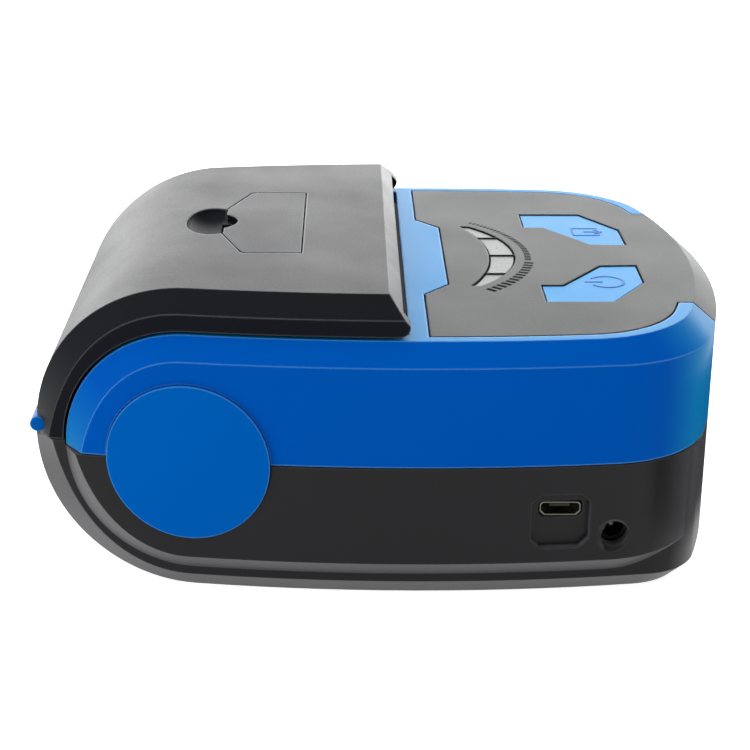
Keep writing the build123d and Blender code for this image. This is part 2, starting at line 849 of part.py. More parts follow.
def upper_shell():
    """The blue upper frame: two cheeks, the deck and the nose."""
    shell = cheek_rear(0) + upper_front(0)
    hollow = cheek_rear(case_wall) + upper_front(case_wall)
    hollow = hollow & column(plan(0, nose_wall, case_corner_radius), -1, deck_under_z)
    wall_y0 = bin_half + bin_wall + bin_clear
    wall_y1 = wall_y0 + bay_wall
    for sign in (-1, 1):
        y0, y1 = sorted((sign * wall_y0, sign * wall_y1))
        hollow = hollow - span(-far, bay_front_x, y0, y1, -far, far)
        y0, y1 = sorted((sign * wall_y0, sign * far))
        hollow = hollow - span(bay_front_x - bay_wall, bay_front_x, y0, y1, -far, far)
    shell = shell - hollow
    shell = shell - span(-far, bay_front_x, -wall_y0, wall_y0, -far, far)
    shell = shell - span(bay_front_x - 1, deck_rear_x, -ledge_half, ledge_half, -far, far)
    pocket = column(panel_outline(panel_gap), -far, far) - upper_front(panel_pocket, low_z=-far)
    shell = shell - pocket
    post_high_z = deck_under_z + boss_root
    posts = []
    for x, y in spots(case_screw_spots):
        posts.append(case_post(x, y, seam_z + seam_gap / 2, post_high_z))
    for x, y in spots(key_screw_spots):
        posts.append(rod_z(x, y, slim_boss_radius, key_board_top_z + seat_gap, post_high_z))
    shell = shell + join(posts)
    shell = shell - span(-far, far, -far, far, -far, seam_z + seam_gap / 2)
    hole = column(button_outline(button_gap + button_lip_gap), deck_under_z - 1, deck_z + 1)
    shell = shell - hole - mirror(hole, about=Plane.XZ) - disc_pocket(-1) - disc_pocket(1)
    for face in window_faces(window_gap + fit_gap):
        shell = shell - column(face, deck_under_z - 1, deck_z + 1)
    for x, y in spots(case_screw_spots):
        shell = shell - rod_z(x, y, screw_radius + running_gap, -1, case_screw_tip_z + tap_room)
    for x, y in spots(key_screw_spots):
        shell = shell - rod_z(x, y, screw_radius + running_gap, 0, key_board_low_z
                              + key_screw_length + tap_room)
    return shell


def keypad_panel():
    """The dark panel on the deck, folded down over the nose."""
    skin = upper_front(0) - upper_front(panel_wall, low_z=-far)
    panel = skin & column(panel_outline(0), seam_z + seam_gap, far)
    hole = column(button_outline(button_gap), deck_under_z, far)
    panel = panel - hole - mirror(hole, about=Plane.XZ)
    for face in window_faces(window_gap):
        panel = panel - column(face, deck_under_z, far)
    return panel


def button():
    """The far button: a faceted key with a lip that stays under the deck."""
    key = column(button_outline(0), button_low_z, deck_z - button_sink)
    lip = column(button_outline(button_gap + button_lip_gap + button_lip), button_low_z,
                 button_low_z + button_lip_wall)
    return key + lip


def status_light_guide():
    """Clear guide: four windows on one carrier, with a stem over each light."""
    top = deck_under_z - fit_gap
    parts = [span(window_rear_x - guide_rear_lap, window_front_x + guide_front_lap, -guide_half,
                  guide_half, top - guide_wall, top)]
    for face in window_faces(-running_gap):
        parts.append(column(face, top - fit_gap, deck_z - window_sink))
    for x, y in spots(from_front(led_spots)):
        stem_low_z = key_board_top_z + led_height + key_clear
        parts.append(rod_z(x, y, guide_stem_radius, stem_low_z, top - fit_gap))
    return join(parts)


# Cover and its release flap

def flap_outline(grow):
    """Plan of the release flap."""
    rear = flap_rear_x - grow
    shoulder = flap_shoulder_x - grow
    half = flap_half + grow
    face = make_face(Polyline(
        (flap_front_x, -half), (shoulder, -half), (rear, -flap_tip_half),
        (rear, flap_tip_half), (shoulder, half), (flap_front_x, half), close=True))
    tips = [v for v in face.vertices() if abs(v.X - shoulder) < 0.01]
    return fillet(tips, flap_shoulder_radius)


def flap_notch():
    """Plan of the round notch at the flap's free edge."""
    return Pos(scoop_x, 0) * Ellipse(notch_length, notch_half)


def scoop():
    """The finger scoop under the flap's free edge, deepest under the notch."""
    bowl = scale(Sphere(1), by=(scoop_length, scoop_half, scoop_depth))
    hole = flap_notch() & Pos(hole_start_x + far / 2, 0) * Rectangle(far, far)
    return Pos(scoop_x, 0, top_z) * bowl + column(hole, top_z - hole_depth, top_z + 1)


def top_cover():
    """The rear-hinged cover over the paper bay."""
    shell = cover_block(0) - cover_block(cover_wall)
    bevel = make_face(Polyline(
        (lip_top_x, top_z), (lip_front_x, top_z - lip_bevel_drop), (lip_front_x + far, top_z),
        (lip_front_x, top_z + far), close=True))
    shell = shell - across(Plane.XZ * bevel)
    shell = shell - span(lip_middle_x, far, -lip_middle_half, lip_middle_half, 0, top_z)
    shell = shell - across(wrapped_side(cover_rim_radius, 0, True))
    shell = shell - span(-far, far, -far, far, -far, cover_seam_z)
    toe = span(lip_front_x - skirt_toe_radius, far, -far, far, cover_rim_radius - 1,
               cover_rim_radius + skirt_toe_radius)
    toe = toe - rod_y(lip_front_x - skirt_toe_radius, cover_rim_radius + skirt_toe_radius,
                      skirt_toe_radius, -far, far)
    shell = shell - toe
    end_y = barrel_half + barrel_end_gap
    shell = shell - hinge_rod(barrel_radius + barrel_clear, end_y, far)
    shell = shell - hinge_rod(barrel_radius + barrel_clear, -far, -end_y)
    shell = shell + hinge_rod(barrel_radius, -barrel_half, barrel_half)
    shell = shell - hinge_rod(hinge_pin_radius + running_gap, -far, far)
    pad_x0 = scoop_x - scoop_length - pad_rear_margin
    pad_half = flap_half + pad_margin
    pad = span(pad_x0, flap_front_x + pad_margin, -pad_half, pad_half, top_z - pad_depth,
               top_z - cover_wall / 2)
    crown = rod_y(0, roll_rise, wrap_radius - cover_wall / 4, -far, far)
    rear_trim = span(pad_x0 - 1, 0, -far, far, 0, top_z) - crown
    shell = shell + (pad - rear_trim)
    shell = shell - column(flap_outline(flap_gap), top_z - flap_wall - flap_gap, top_z + 1)
    swing = math.hypot(flap_barrel_radius, flap_pivot_drop) + flap_swing_gap
    shell = shell - rod_y(flap_pivot_x, flap_pivot_z, swing, -flap_half - flap_gap,
                          flap_half + flap_gap)
    pin_reach = flap_half + flap_pin_reach + flap_swing_gap
    return shell - scoop() - rod_y(flap_pivot_x, flap_pivot_z, flap_pin_radius + running_gap,
                                   -pin_reach, pin_reach)


def latch_lever():
    """The release flap; a barrel under its front edge turns on a pin."""
    flap = column(flap_outline(0), top_z - flap_wall, top_z)
    flap = flap + rod_y(flap_pivot_x, flap_pivot_z, flap_barrel_radius, -flap_half, flap_half)
    room_x0 = flap_pivot_x - flap_barrel_radius - spring_notch_lead
    flap = flap - span(room_x0, far, -spring_notch, spring_notch, 0, top_z - flap_skin)
    flap = flap - column(flap_notch(), 0, far)
    hole_radius = flap_pin_radius + running_gap
    return flap - rod_y(flap_pivot_x, flap_pivot_z, hole_radius, -far, far)


def coil(radius, wire, turns, length):
    """A helical spring along z that starts at the origin."""
    path = Helix(pitch=length / turns, height=length, radius=radius)
    section = Plane(origin=path @ 0, z_dir=path % 0) * Circle(wire)
    return sweep(section, path=path, is_frenet=True)


def latch_spring():
    """The small torsion coil on the flap's pin."""
    length = 2 * (spring_notch - latch_spring_end_gap)
    radius = flap_pin_radius + latch_spring_gap
    turned = Rot(90, 0, 0) * coil(radius, latch_spring_wire, latch_spring_turns, length)
    return Pos(flap_pivot_x, length / 2, flap_pivot_z) * turned


def hinge_knuckle(sign):
    """A blue hinge end that clips inside the rear wall."""
    y0, y1 = sorted((sign * (barrel_half + pin_end_gap), sign * knuckle_half))
    tab = rod_y(0, roll_rise, wrap_radius - case_wall - fit_gap, y0, y1)
    tab = tab - rod_y(0, roll_rise, bin_outer + bin_seat_gap, -far, far)
    hollow = body_low(case_wall + fit_gap) + cover_block(cover_wall + fit_gap)
    web_low_z, web_high_z = hinge_z - knuckle_web / 2, hinge_z + knuckle_web / 2
    tab = tab & hollow & span(-far, 0, y0, y1, knuckle_tab_low_z, web_high_z)
    web_half = side_y(hinge_x, body_inset + cover_wall) - cover_bevel_in - fit_gap
    web_y0, web_y1 = sorted((sign * (barrel_half + pin_end_gap), sign * web_half))
    web = span(hinge_x, -bin_outer - bin_seat_gap, web_y0, web_y1, web_low_z, web_high_z)
    blind = knuckle_half - knuckle_cap
    hole = hinge_rod(hinge_pin_radius + running_gap, -blind, blind)
    return hinge_rod(barrel_radius, y0, y1) + tab + web - hole


def platen_bracket():
    """Cross bar under the cover's lip with an ear at each end of the platen."""
    x1 = lip_middle_x - cover_wall - fit_gap
    z1 = top_z - cover_wall - fit_gap
    x0 = x1 - bracket_length
    half = ear_y1 - ear_wall / 2
    parts = [span(x0, x1, -half, half, z1 - bracket_height, z1)]
    for sign in (-1, 1):
        y0, y1 = sorted((sign * (ear_y1 - ear_wall), sign * ear_y1))
        parts.append(span(x0 + 1, x1, y0, y1, platen_z, z1 - 1))
        parts.append(rod_y(platen_x, platen_z, ear_radius, y0, y1))
    return join(parts) - rod_y(platen_x, platen_z, platen_shaft_radius + running_gap, -far, far)


# Print mechanism

def mechanism_frame():
    """Folded steel frame: floor, two sides and the wall behind the head springs."""
    sides = span(frame_rear_x, frame_front_x, -frame_half, frame_half, frame_floor_z, frame_top_z)
    inside = span(-far, far, -frame_inner, frame_inner, frame_floor_z + frame_wall, far)
    frame = sides - inside
    wall = span(frame_front_x - frame_wall, frame_front_x, -frame_half, frame_half,
                head_foot_high_z, frame_top_z - 1)
    frame = frame + wall
    slot_radius = bush_radius + bush_slot_gap
    lift = math.degrees(math.atan2(platen_z - hinge_z, platen_x - hinge_x))
    slot_face = Pos(ear_radius, 0) * Rectangle(2 * ear_radius, 2 * (slot_radius + fit_gap))
    slot = extrude(slot_face, amount=far, both=True)
    slot = Pos(platen_x, 0, platen_z) * Rot(0, -lift - 90, 0) * Rot(90, 0, 0) * slot
    frame = frame - slot - rod_y(platen_x, platen_z, slot_radius, -far, far)
    frame = frame - rod_y(rod_x_pos, rod_z_pos, rod_radius + tight_gap, -far, far)
    frame = frame - rod_y(idler_x, idler_z, axle_radius + tight_gap, 0, far)
    frame = frame - rod_y(pinion_x, pinion_z, motor_boss_radius + fit_gap, 0, far)
    for x, y in spots(mechanism_screw_spots):
        frame = frame - rod_z(x, y, screw_radius + screw_play, -far, far)
    return frame


def head_heatsink():
    """Aluminium plate that carries the print head, with a foot on the pivot rod."""
    plate = span(head_plate_x, head_back_x, -head_half, head_half, head_foot_low_z, head_top_z)
    foot = span(head_plate_x, head_plate_x + head_foot_length, -head_half, head_half,
                head_foot_low_z, head_foot_high_z)
    return plate + foot - rod_y(rod_x_pos, rod_z_pos, rod_radius + running_gap, -far, far)


def head_spring(sign):
    """Compression spring between the heatsink and the frame's front wall."""
    x0 = head_back_x + head_spring_wire + tight_gap
    x1 = frame_front_x - frame_wall - head_spring_gap - head_spring_wire
    turned = Rot(0, 90, 0) * coil(head_spring_radius, head_spring_wire, head_spring_turns, x1 - x0)
    return Pos(x0, sign * head_spring_y, head_spring_z) * turned


def tear_bar():
    """Serrated strip on the deck's rear edge."""
    count = int(bin_half * 2 / tooth_pitch)
    half = count * tooth_pitch / 2
    tip = deck_z - tooth_drop
    low, root = deck_under_z + tear_seat, tip - tooth_depth
    points = [(-half, low), (half, low), (half, root)]
    for index in range(count):
        y = half - index * tooth_pitch
        points += [(y - tooth_pitch / 2, tip), (y - tooth_pitch, root)]
    face = Plane.YZ * make_face(Polyline(*points, close=True))
    return Pos(deck_rear_x - tear_gap - tear_wall, 0, 0) * extrude(face, amount=tear_wall)


def gear(teeth, bore, tooth_angle):
    """Spur gear along y with trapezoid teeth, one of them at the given angle."""
    pitch_radius = gear_module * teeth / 2
    tip = pitch_radius + tooth_tip_share * gear_module
    root = pitch_radius - tooth_root_share * gear_module
    corners = [(root, -tooth_root_half), (tip, -tooth_tip_half), (tip, tooth_tip_half),
               (root, tooth_root_half)]
    step = 2 * math.pi / teeth
    points = []
    for index in range(teeth):
        centre = math.radians(tooth_angle) + index * step
        for radius, share in corners:
            angle = centre + share * step
            points.append((radius * math.cos(angle), radius * math.sin(angle)))
    face = make_face(Polyline(*points, close=True)) - Circle(bore)
    return extrude(Plane.XZ * face, amount=-gear_width)


def gear_at(x, z, teeth, bore, tooth_angle):
    """Seats a gear in the gear plane at the far side."""
    return Pos(x, gear_y0, z) * gear(teeth, bore, tooth_angle)


def idler_tooth_angle():
    """The idler has a gap where the platen gear has a tooth."""
    return idler_bearing + 180 + 180 / idler_teeth


def pinion_tooth_angle():
    """The pinion's phase follows the idler's at their pitch point."""
    pitch = 360 / idler_teeth
    offset = ((pinion_bearing - idler_tooth_angle()) / pitch) % 1
    return pinion_bearing + 180 + (offset + 0.5) * 360 / pinion_teeth


def stepper_motor():
    """Round stepper motor against the inside of the far frame side."""
    y1 = frame_inner - fit_gap
    body = rod_y(pinion_x, pinion_z, motor_radius, y1 - motor_length, y1)
    boss = rod_y(pinion_x, pinion_z, motor_boss_radius, y1 - 1, frame_half)
    hole_y0 = frame_inner - motor_shaft_root - 1
    hole = rod_y(pinion_x, pinion_z, motor_shaft_radius + running_gap, hole_y0, far)
    return body + boss - hole


def paper_bin():
    """The trough that the roll drops into, with its end walls."""
    y1 = bin_half + bin_wall
    low = Plane.XZ * Pos(0, roll_rise) * (
        Circle(bin_outer) & Pos(0, -bin_outer / 2) * Rectangle(2 * bin_outer, bin_outer))
    outer = extrude(low, amount=y1, both=True)
    outer = outer + span(0, bin_outer, -y1, y1, roll_rise - 1, bin_front_z)
    ends = Plane.XZ * Pos(0, roll_rise) * (
        Circle(bin_end_radius) & Pos(0, bin_outer / 2) * Rectangle(2 * bin_outer, bin_outer))
    outer = outer + extrude(ends, amount=y1, both=True)
    inner = rod_y(0, roll_rise, bin_radius, -bin_half, bin_half)
    inner = inner + span(-far, bin_radius, -bin_half, bin_half, roll_rise, far)
    trough = outer - inner
    inset = body_inset + case_wall + bin_clear
    above = plan(inset, 0, body_corner_radius, x0=-bin_end_radius - bin_clear)
    room = body_low(case_wall + bin_clear) + column(above, roll_rise, top_z)
    trough = trough & room
    slot_low_z, slot_high_z = sensor_z - sensor_slot_half_height, sensor_z + sensor_slot_half_height
    return trough - span(bin_radius - 1, far, -sensor_slot_half, sensor_slot_half, slot_low_z,
                         slot_high_z)


def main_board():
    """The circuit board over the battery bay."""
    face = plan(board_side_inset, nose_wall + board_front_gap, case_corner_radius - board_side_inset,
                x0=board_rear_x, x1=board_front_x)
    board = column(face, board_low_z, board_top_z)
    for x, y in spots(case_screw_spots):
        board = board - rod_z(x, y, boss_radius + board_boss_gap, -far, far)
    for x, y in spots(board_screw_spots):
        board = board - rod_z(x, y, screw_radius + screw_play, -far, far)
    return board


def usb_shell():
    """Folded steel shell of the micro USB socket."""
    y0 = -side_y(usb_x, usb_recess_depth + usb_setback)
    y1 = y0 + usb_length
    return usb_prism(0, y0, y1) - usb_prism(usb_wall, y0 - 1, y1 - usb_wall)


def usb_tongue():
    """The contact tongue inside the shell."""
    y0 = -side_y(usb_x, usb_recess_depth + usb_setback)
    half = usb_tongue_width / 2
    top = usb_z + usb_height / 2 - usb_tongue_drop
    return span(usb_x - half, usb_x + half, y0 + usb_tongue_setback, y0 + usb_length - usb_wall,
                top - usb_tongue_wall, top)


def dc_back_y():
    """Where the power socket starts behind the case's wall."""
    return -edge_y(dc_x + dc_body_width / 2, socket_wall) + dc_wall_gap


def dc_jack():
    """Black power socket under the board."""
    y0 = dc_back_y()
    y1 = y0 + dc_body_length
    body = span(dc_x - dc_body_width / 2, dc_x + dc_body_width / 2, y0, y1,
                dc_z - dc_body_height / 2, board_low_z - tight_gap)
    return body - rod_y(dc_x, dc_z, dc_hole_radius - dc_bore_step, y0 - 1, y1 - dc_end_wall)


def dc_pin():
    """The bright centre pin of the power socket."""
    y1 = dc_back_y() + dc_body_length - dc_end_wall - running_gap
    return rod_y(dc_x, dc_z, dc_pin_radius, -side_y(dc_x, dc_pin_depth), y1)


def key_board():
    """The small board under the buttons and windows."""
    board = span(key_board_rear_x, key_board_front_x, -key_board_half, key_board_half,
                 key_board_top_z - board_wall, key_board_top_z)
    for x, y in spots(key_screw_spots):
        board = board - rod_z(x, y, screw_radius + screw_play, 0, far)
    return board


def tact_switch(sign):
    """A push switch: square case and round key."""
    x, y = frame_front_x + tact_spot[0], sign * tact_spot[1]
    half = tact_size / 2
    low = key_board_top_z + tight_gap
    high = key_board_top_z + tact_height
    case = span(x - half, x + half, y - half, y + half, low, high)
    return case + rod_z(x, y, tact_key_radius, high - tact_case_drop, high + tact_key_height)


def unit(start, end):
    """Direction from one side-view point to the next."""
    length = math.dist(start, end)
    return (end[0] - start[0]) / length, (end[1] - start[1]) / length


def ribbon(points, y0, y1):
    """A flat flexible ribbon along a side-view route, with mitred bends."""
    steps = [unit(start, end) for start, end in zip(points, points[1:])]
    steps = [steps[0], *steps, steps[-1]]
    upper, lower = [], []
    for (x, z), (ax, az), (bx, bz) in zip(points, steps, steps[1:]):
        share = ribbon_half_wall / (1 + ax * bx + az * bz)
        dx, dz = -(az + bz) * share, (ax + bx) * share
        upper.append((x + dx, z + dz))
        lower.append((x - dx, z - dz))
    face = make_face(Polyline(*upper, *reversed(lower), close=True))
    return Pos(0, y1, 0) * extrude(Plane.XZ * face, amount=y1 - y0)


def battery_door():
    """Plain door over the battery bay; it turns on two pegs at its rear edge."""
    x1 = bay_x1 - door_gap
    half = bay_half - door_gap
    door = span(door_axis_x, x1, -half, half, door_low_z, door_low_z + door_wall)
    door = door + rod_y(door_axis_x, door_axis_z, door_wall / 2, -half, half)
    door = door + rod_y(door_axis_x, door_axis_z, door_peg_radius, -half - door_peg, half + door_peg)
    grip_x1 = x1 - door_grip_x
    grip = span(grip_x1 - door_grip_length, grip_x1, -door_grip_half, door_grip_half, floor_z - 1,
                door_low_z + door_grip_depth)
    return door - grip


def battery_pack():
    """Flat pack with softened edges."""
    pack = span(pack_rear_x, pack_front_x, -pack_half, pack_half, pack_low_z, pack_low_z + pack_height)
    return fillet(pack.edges().filter_by(Axis.Y), pack_round)


def screw_group(pairs, head_low_z, length, upward=False):
    """Identical screws, one at each mirrored spot."""
    return [screw(x, y, head_low_z, length, upward) for x, y in spots(pairs)]


def board_block(spot, length, width, height):
    """A plain part on the main board."""
    x, y = frame_front_x + spot[0], spot[1]
    return span(x - length / 2, x + length / 2, y - width / 2, y + width / 2, part_low_z,
                part_low_z + height)


def platen_bush(sign):
    """A bush that runs in the frame's slot."""
    y0 = frame_inner - bush_sink
    y0, y1 = sorted((sign * y0, sign * (y0 + bush_length)))
    bush = rod_y(platen_x, platen_z, bush_radius, y0, y1)
    return bush - rod_y(platen_x, platen_z, platen_shaft_radius + running_gap, -far, far)


def simple_pieces():
    """Pieces that are one bar, block or plate."""
    pin_half = knuckle_half - knuckle_cap - pin_end_gap
    latch_half = flap_half + flap_pin_reach
    switch_y1 = -frame_half - fit_gap
    switch_x1 = frame_front_x - switch_setback
    switch_z1 = frame_top_z - switch_drop
    buzzer_x, buzzer_y = from_front([buzzer_spot])[0]
    return {
        "hinge_pin": hinge_rod(hinge_pin_radius, -pin_half, pin_half),
        "latch_pin": rod_y(flap_pivot_x, flap_pivot_z, flap_pin_radius, -latch_half, latch_half),
        "platen_shaft": rod_y(platen_x, platen_z, platen_shaft_radius, -ear_y1 - platen_stub, shaft_end),
        "platen_rubber": rod_y(platen_x, platen_z, platen_radius, -platen_half, platen_half)
        - rod_y(platen_x, platen_z, platen_shaft_radius + tight_gap, -far, far),
        "head_pivot_rod": rod_y(rod_x_pos, rod_z_pos, rod_radius, -frame_half, frame_half),
        "idler_axle": rod_y(idler_x, idler_z, axle_radius, frame_inner, shaft_end)
        + rod_y(idler_x, idler_z, axle_radius + axle_collar, frame_half + running_gap,
                gear_y0 - collar_gap),
        "motor_shaft": rod_y(pinion_x, pinion_z, motor_shaft_radius,
                             frame_inner - motor_shaft_root, shaft_end),
        "thermal_head": span(head_face_x, head_plate_x - tight_gap, -head_half, head_half,
                             head_board_low_z, head_top_z),
        "paper_sensor": span(bin_outer + fit_gap, bin_outer + fit_gap + sensor_length, -sensor_half,
                             sensor_half, sensor_z - sensor_half_height,
                             sensor_z + sensor_half_height),
        "cover_switch": span(switch_x1 - switch_length, switch_x1, switch_y1 - switch_width,
                             switch_y1, switch_z1 - switch_height, switch_z1),
        "control_chip": board_block(chip_spot, chip_size, chip_size, chip_height),
        "radio_module": board_block(radio_spot, radio_length, radio_width, radio_height),
        "buzzer": rod_z(buzzer_x, buzzer_y, buzzer_radius, part_low_z, part_low_z + buzzer_height),
        "platen_bush_left": platen_bush(-1),
        "platen_bush_right": platen_bush(1),
    }


def place(shape):
    """Moves a piece from the disc's axes to the ground under the case's middle."""
    return Pos(-origin_x, 0, -floor_z) * shape


def write(name, shape):
    """Writes one node, as one solid or a group of separate solids."""
    if isinstance(shape, list):
        solids = [solid for item in shape for solid in item.solids()]
        moved = Compound(children=[place(solid) for solid in solids])
    else:
        solids = shape.solids()
        moved = place(solids[0]) if len(solids) == 1 else Compound(
            children=[place(solid) for solid in solids])
    moved.label = name
    export_step(moved, "parts/" + name + ".step")


def main():
    os.makedirs("parts", exist_ok=True)
    write("base_shell", base_shell())
    write("upper_shell", upper_shell())
    write("top_cover", top_cover())
    write("keypad_panel", keypad_panel())
    write("status_light_guide", status_light_guide())
    write("feed_button", button())
    write("power_button", mirror(button(), about=Plane.XZ))
    write("latch_lever", latch_lever())
    write("latch_spring", latch_spring())
    write("platen_bracket", platen_bracket())
    write("mechanism_frame", mechanism_frame())
    write("head_heatsink", head_heatsink())
    write("tear_bar", tear_bar())
    for name, sign in (("left", -1), ("right", 1)):
        write("side_disc_" + name, side_disc(sign))
        write("hinge_knuckle_" + name, hinge_knuckle(sign))
        write("head_spring_" + name, head_spring(sign))
    write("platen_gear", gear_at(platen_x, platen_z, platen_teeth, platen_shaft_radius + tight_gap,
                                 idler_bearing))
    write("idler_gear", gear_at(idler_x, idler_z, idler_teeth, axle_radius + running_gap,
                                idler_tooth_angle()))
    write("motor_pinion", gear_at(pinion_x, pinion_z, pinion_teeth, motor_shaft_radius + tight_gap,
                                  pinion_tooth_angle()))
    write("stepper_motor", stepper_motor())
    write("paper_bin", paper_bin())
    write("main_board", main_board())
    write("usb_shell", usb_shell())
    write("usb_tongue", usb_tongue())
    write("dc_jack", dc_jack())
    write("dc_pin", dc_pin())
    write("key_board", key_board())
    write("tact_switches", [tact_switch(-1), tact_switch(1)])
    half_x, half_y = led_length / 2, led_width / 2
    lights = [
        span(x - half_x, x + half_x, y - half_y, y + half_y, key_board_top_z + tight_gap,
             key_board_top_z + led_height)
        for x, y in spots(from_front(led_spots))
    ]
    write("status_lights", lights)
    write("head_ribbon", ribbon(head_ribbon_route, -head_ribbon_half, head_ribbon_half))
    write("key_ribbon", ribbon(key_ribbon_route, key_ribbon_y - key_ribbon_half,
                               key_ribbon_y + key_ribbon_half))
    write("battery_pack", battery_pack())
    write("battery_door", battery_door())
    contact_x = bay_x0 + running_gap
    contact_z = floor_z + contact_rise
    blades = [
        span(contact_x, contact_x + contact_wall, y - contact_width / 2, y + contact_width / 2,
             contact_z, contact_z + contact_height)
        for y in contact_ys
    ]
    write("battery_contacts", blades)
    write("case_screws", screw_group(case_screw_spots, case_screw_seat_z - screw_head_height
                                     - seat_gap, case_screw_length, upward=True))
    write("mechanism_screws", screw_group(mechanism_screw_spots, frame_floor_z + frame_wall
                                          + seat_gap, mechanism_screw_length))
    write("board_screws", screw_group(board_screw_spots, board_top_z + seat_gap, board_screw_length))
    write("key_screws", screw_group(key_screw_spots, key_board_low_z - screw_head_height - seat_gap,
                                    key_screw_length, upward=True))
    for name, shape in simple_pieces().items():
        write(name, shape)


main()
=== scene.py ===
# %% [markdown]
# # A portable receipt printer
# The hard shapes of this printer come from the CAD model, which is loaded here as a fixed frame in metres.
# Blender adds what a CAD model lacks: the camera and light of a small product studio, the moulded plastics
# with their fine grain and soft edges, and the small printed and raised marks. The case itself stays exactly
# where the CAD model puts it.

# %% Load the frame
import math

import bmesh
import bpy
from mathutils import Matrix, Vector


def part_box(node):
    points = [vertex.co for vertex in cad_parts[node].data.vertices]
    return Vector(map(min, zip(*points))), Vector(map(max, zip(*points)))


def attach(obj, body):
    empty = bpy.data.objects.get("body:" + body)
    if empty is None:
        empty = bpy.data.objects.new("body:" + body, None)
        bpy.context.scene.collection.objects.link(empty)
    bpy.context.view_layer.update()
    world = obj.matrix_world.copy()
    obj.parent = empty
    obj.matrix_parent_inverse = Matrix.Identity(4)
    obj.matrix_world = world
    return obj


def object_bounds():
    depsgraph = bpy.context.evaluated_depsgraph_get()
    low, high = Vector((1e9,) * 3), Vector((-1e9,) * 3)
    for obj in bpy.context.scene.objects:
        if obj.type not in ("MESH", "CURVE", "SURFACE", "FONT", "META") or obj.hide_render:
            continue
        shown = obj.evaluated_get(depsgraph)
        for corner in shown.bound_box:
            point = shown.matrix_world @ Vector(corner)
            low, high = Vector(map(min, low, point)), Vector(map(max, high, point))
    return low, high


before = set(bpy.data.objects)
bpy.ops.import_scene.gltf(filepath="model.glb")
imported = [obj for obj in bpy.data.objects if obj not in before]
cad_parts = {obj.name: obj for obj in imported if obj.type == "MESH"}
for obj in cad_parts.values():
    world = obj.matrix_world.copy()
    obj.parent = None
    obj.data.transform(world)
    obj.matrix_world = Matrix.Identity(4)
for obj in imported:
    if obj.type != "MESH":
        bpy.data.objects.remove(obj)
scene = bpy.context.scene
cad_low, cad_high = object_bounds()
MM = 0.001
print("nodes:", len(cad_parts), "case in mm:", [round(v / MM, 1) for v in cad_high - cad_low])

# %% [markdown]
# ## The camera
# The product was photographed with a long lens from a little above, almost square to its side. The camera
# could be aimed by eye, but its place was worked out from edges whose size is known, so it is set from a
# position and three angles: where it looks along the ground, how far down it looks, and a slight roll. The
# length of the lens was measured in pixels of the picture, and is turned into millimetres here.

# %% Camera
CAMERA_PLACE = Vector((-6.91, -347.82, 163.57)) * MM
CAMERA_TURN = math.radians(0.946)
CAMERA_DOWN = math.radians(21.56)
CAMERA_ROLL = math.radians(0.349)
SENSOR_WIDTH = 36.0
LENS_PIXELS = 1763.7
PICTURE_PIXELS = 750.0

forward = Vector((math.sin(CAMERA_TURN) * math.cos(CAMERA_DOWN),
                  math.cos(CAMERA_TURN) * math.cos(CAMERA_DOWN),
                  -math.sin(CAMERA_DOWN)))
level = Vector((math.cos(CAMERA_TURN), -math.sin(CAMERA_TURN), 0.0))
upright = level.cross(forward)
right = math.cos(CAMERA_ROLL) * level + math.sin(CAMERA_ROLL) * upright
up = math.cos(CAMERA_ROLL) * upright - math.sin(CAMERA_ROLL) * level
camera_data = bpy.data.cameras.new("camera")
camera_data.sensor_width = SENSOR_WIDTH
camera_data.lens = SENSOR_WIDTH * (LENS_PIXELS / PICTURE_PIXELS)
camera = bpy.data.objects.new("camera", camera_data)
scene.collection.objects.link(camera)
turned = Matrix((right, up, -forward)).transposed().to_4x4()
camera.matrix_world = Matrix.Translation(CAMERA_PLACE) @ turned
scene.camera = camera
print("camera lens", round(camera_data.lens, 2), "mm")

# %% [markdown]
# ## Floor and air
# A cut-out product picture has a plain white ground. More light would bleach the object, so the floor and
# the air are simply white where the camera, a mirror or a window looks at them, and light the printer at an
# even, gentle level. The floor's white falls a little short, and a matt paint makes up the rest, so that the
# printer's shadow still shows on it.

# %% Floor and air
WHITE = (1, 1, 1, 1)
AIR_LIGHT = 0.6
FLOOR_GLOW = 0.85
FLOOR_PAINT = (0.8, 0.8, 0.8, 1)
FLOOR_WIDTH = 6.0


def see_through_light(tree, white, seen):
    """Adds a mix that shows `white` to the camera and reflections, and `seen` to everything else."""
    path = tree.nodes.new("ShaderNodeLightPath")
    first = tree.nodes.new("ShaderNodeMath")
    first.operation = "MAXIMUM"
    tree.links.new(path.outputs["Is Camera Ray"], first.inputs[0])
    tree.links.new(path.outputs["Is Glossy Ray"], first.inputs[1])
    second = tree.nodes.new("ShaderNodeMath")
    second.operation = "MAXIMUM"
    tree.links.new(first.outputs[0], second.inputs[0])
    tree.links.new(path.outputs["Is Transmission Ray"], second.inputs[1])
    mix = tree.nodes.new("ShaderNodeMixShader")
    tree.links.new(second.outputs[0], mix.inputs[0])
    tree.links.new(seen, mix.inputs[1])
    tree.links.new(white, mix.inputs[2])
    return mix.outputs[0]


def studio_air():
    """An even white surround: plain white to look at, and weaker as a lamp."""
    world = bpy.data.worlds.new("studio_air")
    world.use_nodes = True
    tree = world.node_tree
    tree.nodes.clear()
    white = tree.nodes.new("ShaderNodeBackground")
    lamp = tree.nodes.new("ShaderNodeBackground")
    lamp.inputs["Strength"].default_value = AIR_LIGHT
    for node in (white, lamp):
        node.inputs["Color"].default_value = WHITE
    out = tree.nodes.new("ShaderNodeOutputWorld")
    tree.links.new(see_through_light(tree, white.outputs[0], lamp.outputs[0]), out.inputs[0])
    scene.world = world


